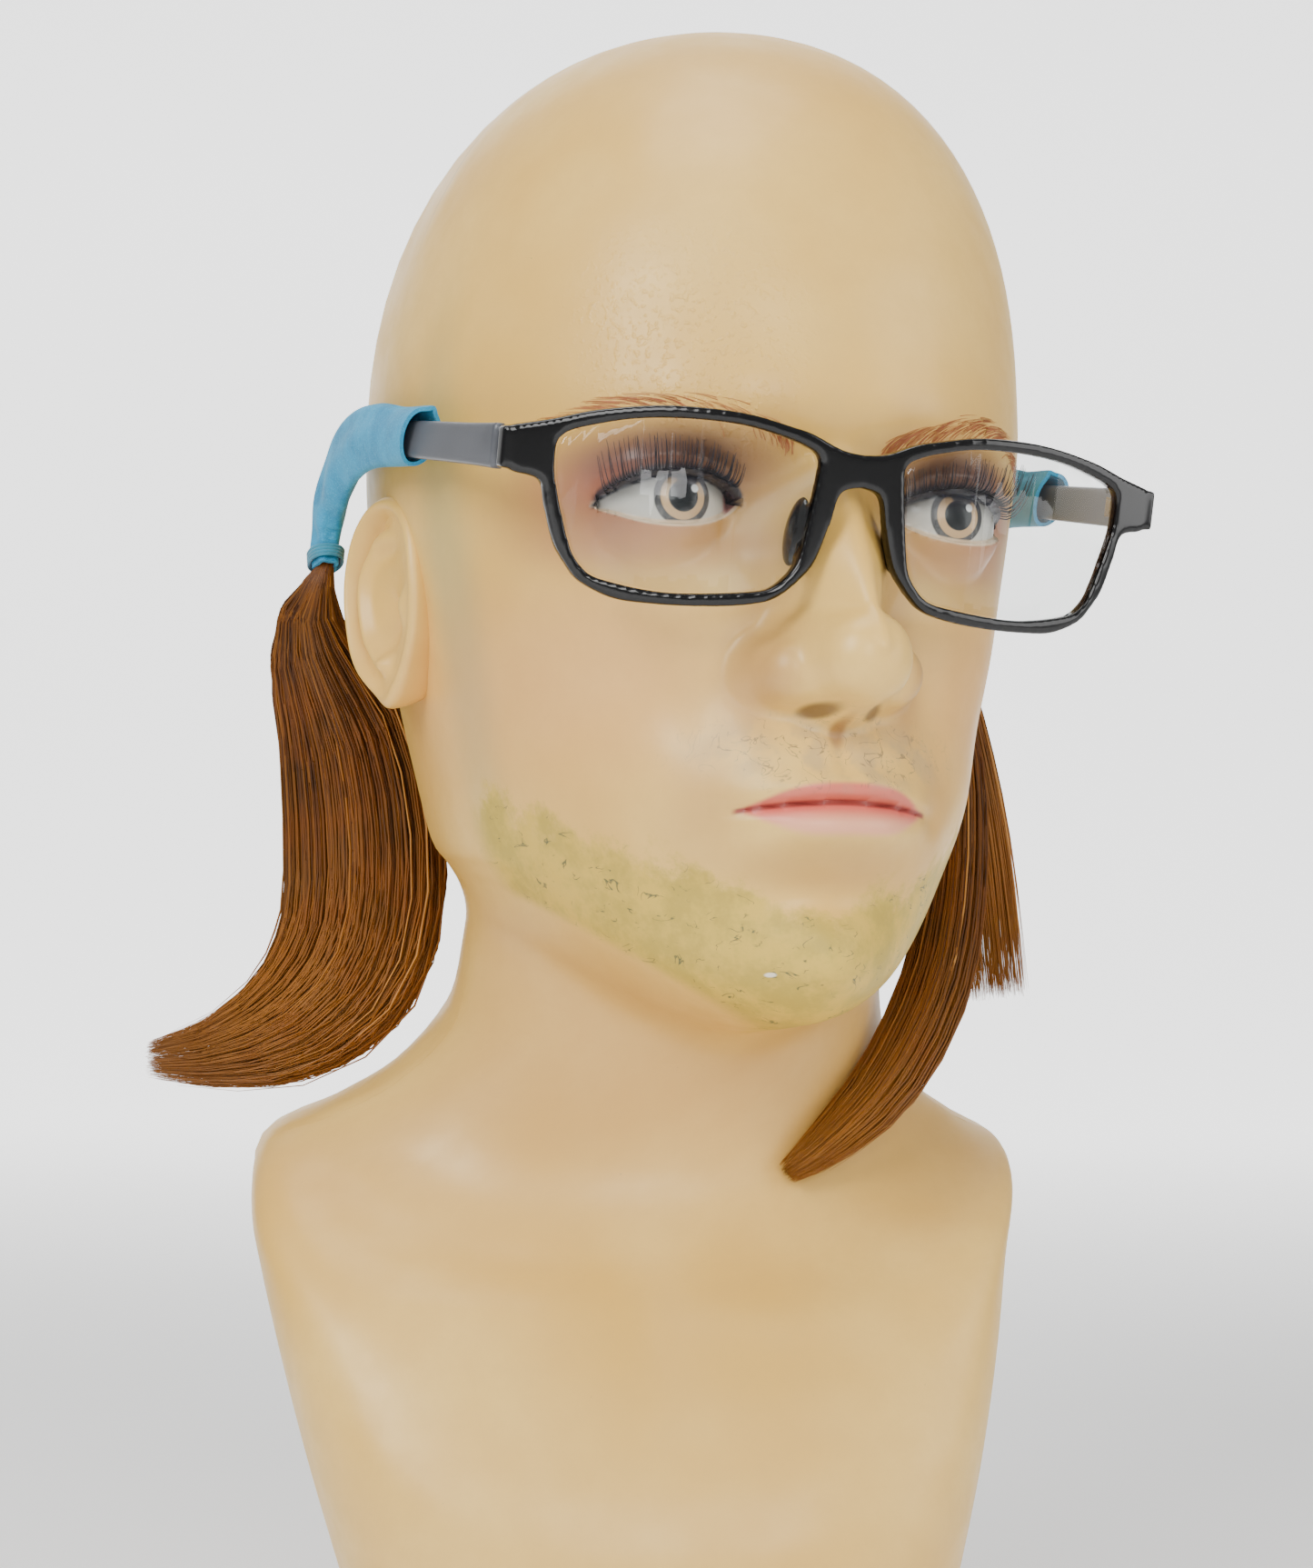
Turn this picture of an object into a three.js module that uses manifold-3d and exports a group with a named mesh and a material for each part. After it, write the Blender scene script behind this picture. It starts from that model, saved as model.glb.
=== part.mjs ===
// A life-size mannequin bust in two moulded shells, on a clamp base, wearing reading glasses
// whose temple tips carry two cloth sleeves with hanks of hair.
//
// Millimetres, +Z up. The chest faces -Y and the bust's own left is +X. Lengths named "front" or
// "back" are measured forwards, so a front value becomes minus that value in Y.
import * as THREE from 'three';
import { mergeVertices } from 'three/addons/utils/BufferGeometryUtils.js';
import Module from 'manifold-3d';

const wasm = await Module();
wasm.setup();

// ---- driving dimensions ---------------------------------------------------------------------
const FOOT_HEIGHT = 8; // table to the bust's lower rim
const RIM_DEPTH = 290; // eye level to the lower rim
const EYE_HEIGHT = FOOT_HEIGHT + RIM_DEPTH;
const CROWN_RISE = 124; // eye level to the top of the head
const HEAD_BREADTH = 151; // over the widest part, above the ears
const SHOULDER_BREADTH = 183; // over the cut-off shoulders
const HEAD_TURN = 16; // degrees that the head looks to its own left
const NECK_LEAN = 12; // sideways offset of the neck's axis from the chest's middle
const CROWN_LEAN = 6; // further sideways lean at the crown
const CHEST_LEAN = -8; // sideways offset of the shoulders from the base's middle
const CHEST_LEAN_HEIGHT = 140; // rim to the shoulders, over which the chest leans
const WALL = 3.4; // moulded shell
const GAP = 0.35; // clearance between fixed neighbours
const SEAM_FRONT = -88; // ear-to-ear seam, forwards of the eyes
const TAPE_THICKNESS = 1.6;
const TAPE_WIDTH = 22;

const BOARD_THICKNESS = 12;
const SOCKET_BORE = 12.4; // radius that takes a clamp's peg
const SOCKET_WALL = 2.6;
const SOCKET_HEIGHT = 60;
const FLANGE_RADIUS = 30;
const FLANGE_THICKNESS = 4;
const FLANGE_HOLE_RING = 22.5;
const WOOD_SCREW = { shank: 1.5, head: 3.1, headHeight: 1.7 };
const SCREW_SIDES = 10;
const SOCKET_SCREW_LENGTH = 13;
const RIM_SCREW_LENGTH = 17;
const RIM_SCREW_ANGLES = [0, 56, 124, 180, 236, 304];
const FOOT_RADIUS = 8;
const FOOT_SPREAD = [36, 44]; // half the distance between feet, sideways and fore-and-aft

const FRAME_DEPTH = 3.4; // thickness of the spectacle front
const LENS_THICKNESS = 2;
const LENS_FRONT = 0.5; // how far the lens sits behind the frame's face
const PAD_SIZE = [1.9, 4, 7.5]; // half thickness, half depth and half height of a nose pad
const FRAME_PITCH = 9.5; // degrees that the arms rise towards the back
const FRAME_ROLL = 1.3; // degrees that the frame sits higher on the bust's right
const HINGE_FRONT = 2.8; // hinge line, forwards of the eyes
const HINGE_HEIGHT = 4.2; // hinge line above eye level
const TEMPLE_LENGTH = 118;
const TEMPLE_THICKNESS = 3;
const HINGE = { x: 71, back: 0.2, middle: 0.7, knuckle: 1.5, hole: 0.85, pin: 0.55, third: 2 };
const SLEEVE_WALL = 1.3;
const BINDING_THICKNESS = 1.1;
const SLEEVE_MOUTH = 46; // distance of the sleeve's open mouth behind the hinge

// ---- colours ----------------------------------------------------------------------------------
const finish = (color, roughness, metalness = 0) => () =>
  new THREE.MeshStandardMaterial({ color, roughness, metalness });
const SKIN = finish(0xd8c09a, 0.35);
const TAPE = finish(0xbfb48a, 0.8);
const BOARD = finish(0xb08d62, 0.8);
const STEEL = finish(0xb9bcc0, 0.35, 0.9);
const RUBBER = finish(0x232323, 0.9);
const GLOSS_BLACK = finish(0x101114, 0.15);
const TEMPLE_GREY = finish(0x4a4a4e, 0.45);
const LENS = () =>
  new THREE.MeshStandardMaterial({ color: 0xe8eeee, roughness: 0.05, transparent: true, opacity: 0.3 });
const LASH = finish(0x14161f, 0.7);
const CLOTH = finish(0x5db8d8, 0.9);
const ELASTIC = finish(0x2b7f97, 0.8);
const HAIR = finish(0x9a5a34, 0.5);

// ---- small helpers ------------------------------------------------------------------------------
const radians = THREE.MathUtils.degToRad;
const vector = (x, y, z) => new THREE.Vector3(x, y, z);
const sum = (values) => values.reduce((a, b) => a + b, 0);

/** Smooth step from 0 at a to 1 at b. */
function ease(a, b, value) {
  const t = Math.min(1, Math.max(0, (value - a) / (b - a)));
  return t * t * (3 - 2 * t);
}

/** Soft bump centred on (x0, z0). */
const bump = (x, z, x0, z0, width, height, power = 2) =>
  Math.exp(-(Math.abs((x - x0) / width) ** power) - Math.abs((z - z0) / height) ** power);

/** The larger of two heights, rounded where they cross. */
function blendMax(a, b, round) {
  const near = Math.max(round - Math.abs(a - b), 0) / round;
  return Math.max(a, b) + (near * near * round) / 4;
}

/** A geometry from points and triangles, turned so that its faces point outwards. */
function closedGeometry(points, triangles) {
  const volume = sum(triangles.map(([a, b, c]) => points[a].dot(points[b].clone().cross(points[c]))));
  const index = volume < 0 ? triangles.map(([a, b, c]) => [a, c, b]) : triangles;
  const geometry = new THREE.BufferGeometry();
  const places = points.flatMap((point) => point.toArray());
  geometry.setAttribute('position', new THREE.Float32BufferAttribute(places, 3));
  geometry.setIndex(index.flat());
  geometry.computeVertexNormals();
  return geometry;
}

/** A copy of a geometry with shared corners and outward faces. */
function closedFrom(geometry) {
  const bare = new THREE.BufferGeometry();
  const loose = geometry.index ? geometry.toNonIndexed() : geometry;
  bare.setAttribute('position', loose.getAttribute('position'));
  const merged = mergeVertices(bare, 1e-4);
  const place = merged.getAttribute('position');
  const point = (i) => vector(place.getX(i), place.getY(i), place.getZ(i));
  const points = Array.from({ length: place.count }, (_, i) => point(i));
  const corner = [...merged.index.array];
  const triangles = Array.from({ length: corner.length / 3 }, (_, i) => corner.slice(3 * i, 3 * i + 3));
  return closedGeometry(points, triangles.filter((triangle) => new Set(triangle).size === 3));
}

/** A closed solid through rings that all have the same number of points, capped at both ends. */
function loft(rings) {
  const count = rings[0].length;
  const points = rings.flat();
  const triangles = [];
  for (let ring = 0; ring < rings.length - 1; ring++) {
    for (let i = 0; i < count; i++) {
      const a = ring * count + i;
      const b = ring * count + ((i + 1) % count);
      triangles.push([a, a + count, b], [b, a + count, b + count]);
    }
  }
  for (const [ring, forwards] of [[0, true], [rings.length - 1, false]]) {
    const middle = points.length;
    points.push(rings[ring].reduce((a, b) => a.add(b), vector(0, 0, 0)).divideScalar(count));
    for (let i = 0; i < count; i++) {
      const a = ring * count + i;
      const b = ring * count + ((i + 1) % count);
      triangles.push(forwards ? [middle, a, b] : [middle, b, a]);
    }
  }
  return closedGeometry(points, triangles);
}

/** The solid that a closed geometry bounds. */
function solid(geometry) {
  const merged = closedFrom(geometry);
  const vertProperties = new Float32Array(merged.getAttribute('position').array);
  return new wasm.Manifold(
    new wasm.Mesh({ numProp: 3, vertProperties, triVerts: new Uint32Array(merged.index.array) }));
}

/** The geometry of a solid's largest piece. */
function skinOf(body) {
  const pieces = body.decompose().sort((a, b) => b.volume() - a.volume());
  const mesh = pieces[0].getMesh();
  const geometry = new THREE.BufferGeometry();
  geometry.setAttribute('position', new THREE.Float32BufferAttribute(mesh.vertProperties, 3));
  geometry.setIndex(new THREE.Uint32BufferAttribute(mesh.triVerts, 1));
  geometry.computeVertexNormals();
  return geometry;
}

/** A box between two corners. */
function block([x0, y0, z0], [x1, y1, z1]) {
  const box = new THREE.BoxGeometry(x1 - x0, y1 - y0, z1 - z0);
  return box.translate((x0 + x1) / 2, (y0 + y1) / 2, (z0 + z1) / 2);
}

/** A cylinder along Z between two heights. */
function rod(radius, bottom, top, sides = 16) {
  const cylinder = new THREE.CylinderGeometry(radius, radius, top - bottom, sides);
  return cylinder.rotateX(Math.PI / 2).translate(0, 0, (bottom + top) / 2);
}

/** A turned solid about Z from [radius, height] pairs that start and end on the axis. */
function turned(profile, sides) {
  const lathe = new THREE.LatheGeometry(profile.map(([r, z]) => new THREE.Vector2(r, z)), sides);
  return closedFrom(lathe.rotateX(Math.PI / 2));
}

/** A pan-head screw pointing along +Z, with the underside of its head at the origin. */
function screw(length, { shank, head, headHeight }) {
  const profile = [[0, length], [shank, length - shank], [shank, 0], [head, 0], [head * 0.72, -headHeight],
    [0, -headHeight]];
  return turned(profile, SCREW_SIDES);
}

/** A matrix that carries +Z onto a direction and the origin onto a point. */
function aimed(point, direction) {
  const turn = new THREE.Quaternion().setFromUnitVectors(vector(0, 0, 1), direction.clone().normalize());
  return new THREE.Matrix4().compose(point, turn, vector(1, 1, 1));
}

function piece(name, geometry, material) {
  const mesh = new THREE.Mesh(geometry, material());
  mesh.name = name;
  return mesh;
}

// ---- the moulded skin ---------------------------------------------------------------------------
// Each row is one closed section: heights at its front, side and back, how far forward its front and
// back lie, its half width, where its widest point lies, how square it is in front and behind, and
// which way its wall thickens vertically.
const head = HEAD_BREADTH / 151;
const torso = SHOULDER_BREADTH / 183;
const rim = -RIM_DEPTH;
const SECTIONS = [
  [25, 25, 25, 8, -182, 75.5 * head, -87, 2.1, 2.1, 0],
  [0, 0, 2, 3, -180, 73.5 * head, -88, 2.2, 2.2, 0],
  [-22, -22, -16, 1, -174, 69.5 * head, -88, 2.2, 2.2, 0],
  [-46, -42, -32, 2, -165, 66 * head, -87, 2.1, 2.2, 0],
  [-68, -60, -44, 5, -157, 62.5 * head, -85, 2.0, 2.2, 0],
  [-88, -74, -53, 3, -151, 59.5 * head, -82, 1.75, 2.2, 0],
  [-103, -79, -58, 1, -148, 56.5 * head, -80, 1.65, 2.15, 1],
  [-111, -84, -63, -6, -146, 53.5, -80, 1.65, 2.1, 1],
  [-114, -90, -69, -24, -144, 51.5, -82, 1.8, 2.05, 1],
  [-117, -97, -76, -42, -142, 51.5, -86, 1.9, 2.0, 1],
  [-128, -116, -94, -49, -141, 55, -90, 2.0, 2.0, 0],
  [-150, -130, -116, -50, -143, 66, -92, 2.0, 2.0, -1],
  [-166, -138, -130, -42, -148, 79 * torso, -94, 2.2, 2.2, -1],
  [-180, -146, -142, -30, -155, 91.5 * torso, -94, 2.9, 2.8, -1],
  [-200, -166, -163, -16, -162, 88.5 * torso, -92, 3.2, 3, -1],
  [rim + 64, rim + 84, rim + 86, -4, -166, 80 * torso, -88, 3.2, 3, 0],
  [rim + 28, rim + 40, rim + 40, -6, -160, 69 * torso, -86, 3.1, 3, 0],
  [rim, rim, rim, -16, -150, 59.5 * torso, -84, 3, 2.9, 0],
];
const [BROW_LEVEL] = SECTIONS[0];
const DOME_POWER = 2.3;
const NECK_AXIS_FRONT = -85;
const TWIST_LOW = -168; // the turn and the lean grow from here ...
const TWIST_HIGH = -112; // ... to here

/** One section, smoothly interpolated down the table; at 0 is the brow and at 1 the rim. */
function section(at) {
  const last = SECTIONS.length - 1;
  const place = Math.min(1, Math.max(0, at)) * last;
  const i = Math.min(Math.floor(place), last - 1);
  const f = place - i;
  const row = (k) => SECTIONS[Math.min(last, Math.max(0, k))];
  const [before, from, to, after] = [row(i - 1), row(i), row(i + 1), row(i + 2)];
  const isHeight = (column) => column < 3;
  return from.map((value, column) => {
    const flat = i === 0 && !isHeight(column);
    const start = i === 0 ? to[column] - value : (to[column] - before[column]) / 2;
    const end = (after[column] - value) / 2;
    return (2 * f ** 3 - 3 * f ** 2 + 1) * value + (f ** 3 - 2 * f ** 2 + f) * (flat ? 0 : start)
      + (3 * f ** 2 - 2 * f ** 3) * to[column] + (f ** 3 - f ** 2) * end;
  });
}

/** A ball's forward surface, falling away steeply beyond its edge. */
function ball(x, z, x0, front, z0, radius) {
  const d = Math.hypot(x - x0, z - z0);
  return front + (d < radius ? Math.sqrt(radius * radius - d * d) : -3 * (d - radius));
}

/**
 * How far forward the face lies at (x, z), worked onto the plain section's own surface. A margin
 * below zero lies that far in front of the face, and a wall depth above zero gives the plainer
 * surface inside it.
 */
function face(x, z, plain, depth) {
  const side = Math.abs(x);
  const socket = 6.5 * bump(side, z, 24, 0, 17, 12, 2.4);
  const mouthLine = 2.4 * Math.exp(-((side / 22.5) ** 6) - ((z + 65.6) / 1.3) ** 2);
  const chinFold = 3.2 * bump(side, z, 0, -83, 20, 6);
  const hollows = socket + mouthLine + chinFold;
  if (depth > 0) return plain - hollows;
  const swells = 3.5 * bump(side, z, 22, 18, 30, 9) + 3 * bump(side, z, 46, -26, 16, 15)
    + 7.5 * bump(side, z, 0, -63, 33, 18, 2.6) + 5.5 * bump(side, z, 0, -98, 19, 11)
    + 2.4 * Math.exp(-((side / 18) ** 4) - ((z + 61.5) / 3.6) ** 2)
    + 3.4 * Math.exp(-((side / 16) ** 4) - ((z + 71) / 4.6) ** 2);
  let front = plain + swells - hollows;
  const slope = 1.35 + 1.3 * ease(-10, -32, z);
  const along = Math.min(1, Math.max(-0.3, (4 - z) / 38));
  const ridge = 9.5 + 20.5 * along - (Math.hypot(slope * side, 4) - 4)
    - 3 * Math.max(0, -34 - z) - 0.6 * Math.max(0, z - 8);
  front = blendMax(front, ridge, 5);
  front = blendMax(front, ball(side, z, 0, 19.5, -34.5, 10), 3.5);
  front = blendMax(front, ball(side, z, 11, 8.5, -37, 7.4), 3);
  return blendMax(front, ball(side, z, 32.5, -15.6, -0.5, 13.8), 1.5) - depth;
}

/** A point given in the head's own frame, turned and leant with the neck and set at its height. */
function placed(x, front, z) {
  const share = ease(TWIST_LOW, TWIST_HIGH, z);
  const turn = radians(HEAD_TURN) * share;
  const chest = CHEST_LEAN * Math.min(1, Math.max(0, (z + RIM_DEPTH) / CHEST_LEAN_HEIGHT));
  const y = NECK_AXIS_FRONT - front;
  return vector(
    x * Math.cos(turn) - y * Math.sin(turn) + NECK_LEAN * share + chest,
    x * Math.sin(turn) + y * Math.cos(turn) - NECK_AXIS_FRONT,
    z + EYE_HEIGHT,
  );
}

/** A point of the skin at a heading around it, on the dome (0 to 1) or down the table (0 to 1). */
function skinPoint(heading, dome, at, inset) {
  const [zf, zs, zb, frontEnd, backEnd, halfWidth, middle, squareFront, squareBack, thicken] = section(at);
  const c = Math.cos(heading);
  const s = Math.sin(heading);
  const rise = Math.cos((dome * Math.PI) / 2);
  const spread = (1 - rise ** DOME_POWER) ** (1 / DOME_POWER);
  const square = 2 + ((c > 0 ? squareFront : squareBack) - 2) * spread;
  const widest = middle - 6 * rise;
  const reach = c > 0 ? frontEnd - middle - inset : middle - backEnd - inset;
  const away = Math.abs(c) ** (2 / square) * reach * spread;
  const x = (halfWidth - inset) * spread * Math.sign(s) * Math.abs(s) ** (2 / square);
  const tilt = Math.abs(c) ** (1.25 + 0.95 * ease(-130, -100, zs));
  const level = zs + ((c > 0 ? zf : zb) - zs) * tilt + inset * thicken;
  const z = level + (CROWN_RISE - BROW_LEVEL - inset) * rise;
  const plain = widest + Math.sign(c) * away;
  const facing = ease(0.05, 0.4, c) * ease(-116, -100, z) * ease(60, 40, z);
  const front = plain + facing * (face(x, z, plain, inset) - plain);
  return placed(x + CROWN_LEAN * rise ** 1.5, front, z);
}

/** Headings around the skin, closer together over the face. */
const headings = (columns) => Array.from({ length: columns }, (_, i) => {
  const turn = (2 * Math.PI * (i + 0.5)) / columns;
  return turn - 0.6 * Math.sin(turn);
});

/** The closed skin, moved in by an inset; a negative one moves it out. */
function skin(columns, domeRows, sectionRows, inset, below = 0) {
  const ring = (dome, at) => headings(columns).map((heading) => skinPoint(heading, dome, at, inset));
  const rings = [];
  for (let i = 0; i < domeRows; i++) rings.push(ring((i + 0.35) / domeRows, 0));
  const last = SECTIONS.length - 1;
  sectionRows.forEach((count, row) => {
    for (let i = 0; i < count; i++) rings.push(ring(1, (row + i / count) / last));
  });
  rings.push(ring(1, 1));
  if (below > 0) rings.push(ring(1, 1).map((p) => p.clone().setZ(p.z - below)));
  return loft(rings);
}

const FINE_ROWS = [3, 4, 6, 4, 3, 2, 2, 1, 1, 2, 2, 2, 3, 2, 2, 2, 1];
const COARSE_ROWS = [1, 2, 2, 2, 2, 1, 1, 1, 1, 1, 1, 1, 2, 2, 1, 1, 1];
const OUTER_COLUMNS = 40;
const INNER_COLUMNS = 22;
const OPEN_END = 6; // how far a cutter runs past the open rim

const outside = solid(skin(OUTER_COLUMNS, 7, FINE_ROWS, 0));
const hollow = solid(skin(INNER_COLUMNS, 5, COARSE_ROWS, WALL, OPEN_END));
const keepOut = solid(skin(OUTER_COLUMNS, 7, FINE_ROWS, -3 * GAP));

/** Everything behind a distance in front of the eyes, following the head's turn. */
function behind(front) {
  const steps = [0, 0.2, 0.4, 0.6, 0.8, 1].map((share) => TWIST_LOW + share * (TWIST_HIGH - TWIST_LOW));
  const levels = [rim - 2 * OPEN_END, ...steps, CROWN_RISE + 2 * OPEN_END];
  const edge = [-120, -80, -40, 0, 40, 80, 120].map((x) => [x, front]);
  const outline = [...edge, [120, -260], [-120, -260]];
  return solid(loft(levels.map((z) => outline.map(([x, y]) => placed(x, y, z)))));
}

// ---- the base -------------------------------------------------------------------------------------
const centreY = -sum(SECTIONS.at(-1).slice(3, 5)) / 2;
const boardTop = FOOT_HEIGHT + BOARD_THICKNESS;

/** Where each rim screw enters, halfway up the board: a point on the skin and the way in. */
const rimScrews = RIM_SCREW_ANGLES.map((angle) => {
  const heading = radians(angle);
  const lowestBand = SECTIONS.at(-2)[0] - rim;
  const level = (z) => 1 - z / lowestBand / (SECTIONS.length - 1);
  const [low, point, high] = [-3, 0, 3].map((z) => skinPoint(heading, 1, level(BOARD_THICKNESS / 2 + z), 0));
  const beside = skinPoint(heading + 0.05, 1, level(BOARD_THICKNESS / 2), 0);
  const normal = beside.clone().sub(point).cross(high.clone().sub(low)).normalize();
  if (normal.dot(vector(point.x, point.y - centreY, 0)) < 0) normal.negate();
  return { point, inwards: normal.clone().negate() };
});
const rimScrewGeometry = ({ point, inwards }) => {
  const under = point.clone().addScaledVector(inwards, -GAP);
  return screw(RIM_SCREW_LENGTH, WOOD_SCREW).applyMatrix4(aimed(under, inwards));
};
const rimHole = ({ point, inwards }) => {
  const hole = rod(WOOD_SCREW.shank + GAP, -OPEN_END, RIM_SCREW_LENGTH + 2, SCREW_SIDES);
  return solid(hole.applyMatrix4(aimed(point, inwards)));
};

const flangeTop = FOOT_HEIGHT - GAP;
const flangeBottom = flangeTop - FLANGE_THICKNESS;
const flangeHoles = [45, 135, 225, 315].map(radians).map((angle) =>
  vector(FLANGE_HOLE_RING * Math.cos(angle), centreY + FLANGE_HOLE_RING * Math.sin(angle), 0));
const flangeHole = (place, reach) => {
  const hole = rod(WOOD_SCREW.shank + GAP, flangeBottom - OPEN_END, flangeBottom + reach, SCREW_SIDES);
  return solid(hole.translate(place.x, place.y, 0));
};

function clampSocket() {
  const outer = SOCKET_BORE + SOCKET_WALL;
  const top = flangeTop + SOCKET_HEIGHT;
  const profile = [[0, flangeBottom], [FLANGE_RADIUS, flangeBottom], [FLANGE_RADIUS, flangeTop],
    [outer, flangeTop], [outer, top], [0, top]];
  let body = solid(turned(profile, 32).translate(0, centreY, 0));
  const bore = rod(SOCKET_BORE, flangeBottom - OPEN_END, top + OPEN_END, 32);
  body = body.subtract(solid(bore.translate(0, centreY, 0)));
  for (const place of flangeHoles) body = body.subtract(flangeHole(place, FLANGE_THICKNESS + 2));
  return skinOf(body);
}

function baseBoard() {
  const outline = (z) => headings(INNER_COLUMNS).map((heading) => skinPoint(heading, 1, 1, WALL + GAP).setZ(z));
  let body = solid(loft([outline(FOOT_HEIGHT), outline(boardTop)]));
  const opening = rod(SOCKET_BORE + SOCKET_WALL + GAP, FOOT_HEIGHT - OPEN_END, boardTop + OPEN_END, 32);
  body = body.subtract(solid(opening.translate(0, centreY, 0)));
  for (const place of flangeHoles) body = body.subtract(flangeHole(place, SOCKET_SCREW_LENGTH + 1));
  for (const place of rimScrews) body = body.subtract(rimHole(place));
  return skinOf(body);
}

function foot(sideways, fore) {
  const top = FOOT_HEIGHT - GAP;
  const profile = [[0, 0], [FOOT_RADIUS - 1.5, 0], [FOOT_RADIUS, 1.5], [FOOT_RADIUS, top], [0, top]];
  return turned(profile, 16).translate(sideways * FOOT_SPREAD[0], centreY + fore * FOOT_SPREAD[1], 0);
}

// ---- shells, tape and ears ----------------------------------------------------------------------
const shell = outside.subtract(hollow);

/** One half shell, with the holes for the screws through its rim. */
function moulding(half) {
  let body = half;
  for (const place of rimScrews) body = body.subtract(rimHole(place));
  return skinOf(body);
}

function seamTape() {
  const outer = solid(skin(INNER_COLUMNS, 5, COARSE_ROWS, WALL + GAP, 0));
  const inner = solid(skin(INNER_COLUMNS, 5, COARSE_ROWS, WALL + GAP + TAPE_THICKNESS, OPEN_END));
  const band = behind(SEAM_FRONT + TAPE_WIDTH / 2).subtract(behind(SEAM_FRONT - TAPE_WIDTH / 2));
  const clearOfBoard = solid(block([-200, -200, 0], [200, 300, boardTop + 1]));
  return skinOf(outer.subtract(inner).intersect(band).subtract(clearOfBoard));
}

// Ear heights from the hollow at its middle, over the inner fold and the rim, and down behind it.
const EAR_PROFILE = [[0.12, 3], [0.3, 3.5], [0.45, 6.5], [0.58, 7.5], [0.72, 6.5], [0.86, 9.8], [0.97, 9],
  [1.0, 7], [0.96, 2], [0.8, -9]];
const EAR_POINTS = 16;
const EAR_SIZE = { back: 16, up: 25.5, flare: 0.06, lean: 10, front: -85, middle: -17.5, stand: 70 };

/** An ear for one side, cut to the skin it is bonded to, and moved out by a margin. */
function ear(side, margin = 0) {
  const rings = EAR_PROFILE.map(([reach, height]) => Array.from({ length: EAR_POINTS }, (_, i) => {
    const angle = (2 * Math.PI * i) / EAR_POINTS;
    const back = (EAR_SIZE.back + margin) * reach * Math.cos(angle) * (1 + 0.18 * Math.sin(angle));
    const up = (EAR_SIZE.up + margin) * reach * Math.sin(angle);
    const toBack = (back + EAR_SIZE.back) / (2 * EAR_SIZE.back);
    const flare = height > 0 ? EAR_SIZE.flare * Math.max(0, back + 6) : 0;
    const out = margin + height * (0.35 + 0.65 * toBack) + flare;
    const lean = radians(EAR_SIZE.lean);
    return placed(
      side * (EAR_SIZE.stand * head + out),
      EAR_SIZE.front - back * Math.cos(lean) - up * Math.sin(lean),
      EAR_SIZE.middle + up * Math.cos(lean) - back * Math.sin(lean),
    );
  }));
  return skinOf(solid(loft(rings)).subtract(keepOut));
}

/** A fan of lashes above one eye, as one thin curved strip. */
function lashes(side) {
  const rings = Array.from({ length: 9 }, (_, i) => {
    const along = i / 8;
    const x = 20.5 + 28 * along;
    const z = 5.6 * Math.sqrt(Math.max(0, 1 - ((x - 34) / 15.5) ** 2)) - 0.4;
    const front = -15.6 + Math.sqrt(Math.max(20, 14.4 ** 2 - (x - 32.5) ** 2 - z * z)) + 0.8;
    const length = 4.5 + 3 * along;
    const corners = [[0, 0.3], [1, 0.25], [1, -0.25], [0, -0.3]];
    return corners.map(([out, thick]) => {
      const fanned = x + out * length * (along - 0.35) * 0.5;
      return placed(side * fanned, front + out * length * 0.85, z + thick + out * 2.2);
    });
  });
  return skinOf(solid(loft(rings)).subtract(keepOut));
}

// ---- spectacles --------------------------------------------------------------------------------
// Worked in the frame's own axes: x across, y back from the hinge line, z up square to the arms.
const spectacleScale = HEAD_BREADTH / 151;
const wrap = (x) => -(15.2 - 9 * (x / (70 * spectacleScale)) ** 2); // front face, behind the hinge line
const across = (points) => points.map(([x, z]) => [x * spectacleScale, z]);
const APERTURE = across([[9.6, 3.7], [12.5, -16.4], [15.5, -21.2], [20, -23.8], [40, -25.8], [55, -23.9],
  [59, -20.8], [61, -16.8], [64.5, -5.2], [65, 1.6], [64, 4], [61, 5.7], [50, 8.7], [38, 9.9], [26, 9.6],
  [16, 7.6], [11, 5.7]]);
const UPPER_EDGE = across([[73.5, 5.3], [66, 7.2], [58, 9.7], [46, 11.9], [36, 12.5], [26, 12.1], [17, 10.5],
  [12, 9.4], [5, 6.7], [0, 6.1]]);
const LOWER_EDGE = across([[0, -0.7], [4.6, -2.2], [6.4, -9], [9, -17.1], [13, -22], [17.5, -25.5],
  [25, -27.3], [35, -28.2], [43, -28.4], [51, -27.9], [58, -25], [61, -21.7], [63.5, -17.9], [66, -10.2],
  [67.5, -5.4], [72.5, -4.3], [73.5, -3.9]]);
const mirror = (points) => points.map(([x, z]) => [-x, z]).reverse();

/** A flat outline given thickness and bent to the wrap of the frame. */
function bent(outline, holes, behind, thickness) {
  const shape = new THREE.Shape(outline.map(([x, z]) => new THREE.Vector2(x, z)));
  for (const hole of holes) shape.holes.push(new THREE.Path(hole.map(([x, z]) => new THREE.Vector2(x, z))));
  const geometry = new THREE.ExtrudeGeometry(shape, { depth: thickness, bevelEnabled: false, steps: 1 });
  geometry.rotateX(Math.PI / 2);
  const position = geometry.getAttribute('position');
  for (let i = 0; i < position.count; i++) {
    const [x, y, z] = [position.getX(i), position.getY(i), position.getZ(i)];
    position.setXYZ(i, x, y + thickness + behind + wrap(x), z);
  }
  return closedFrom(geometry);
}

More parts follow.
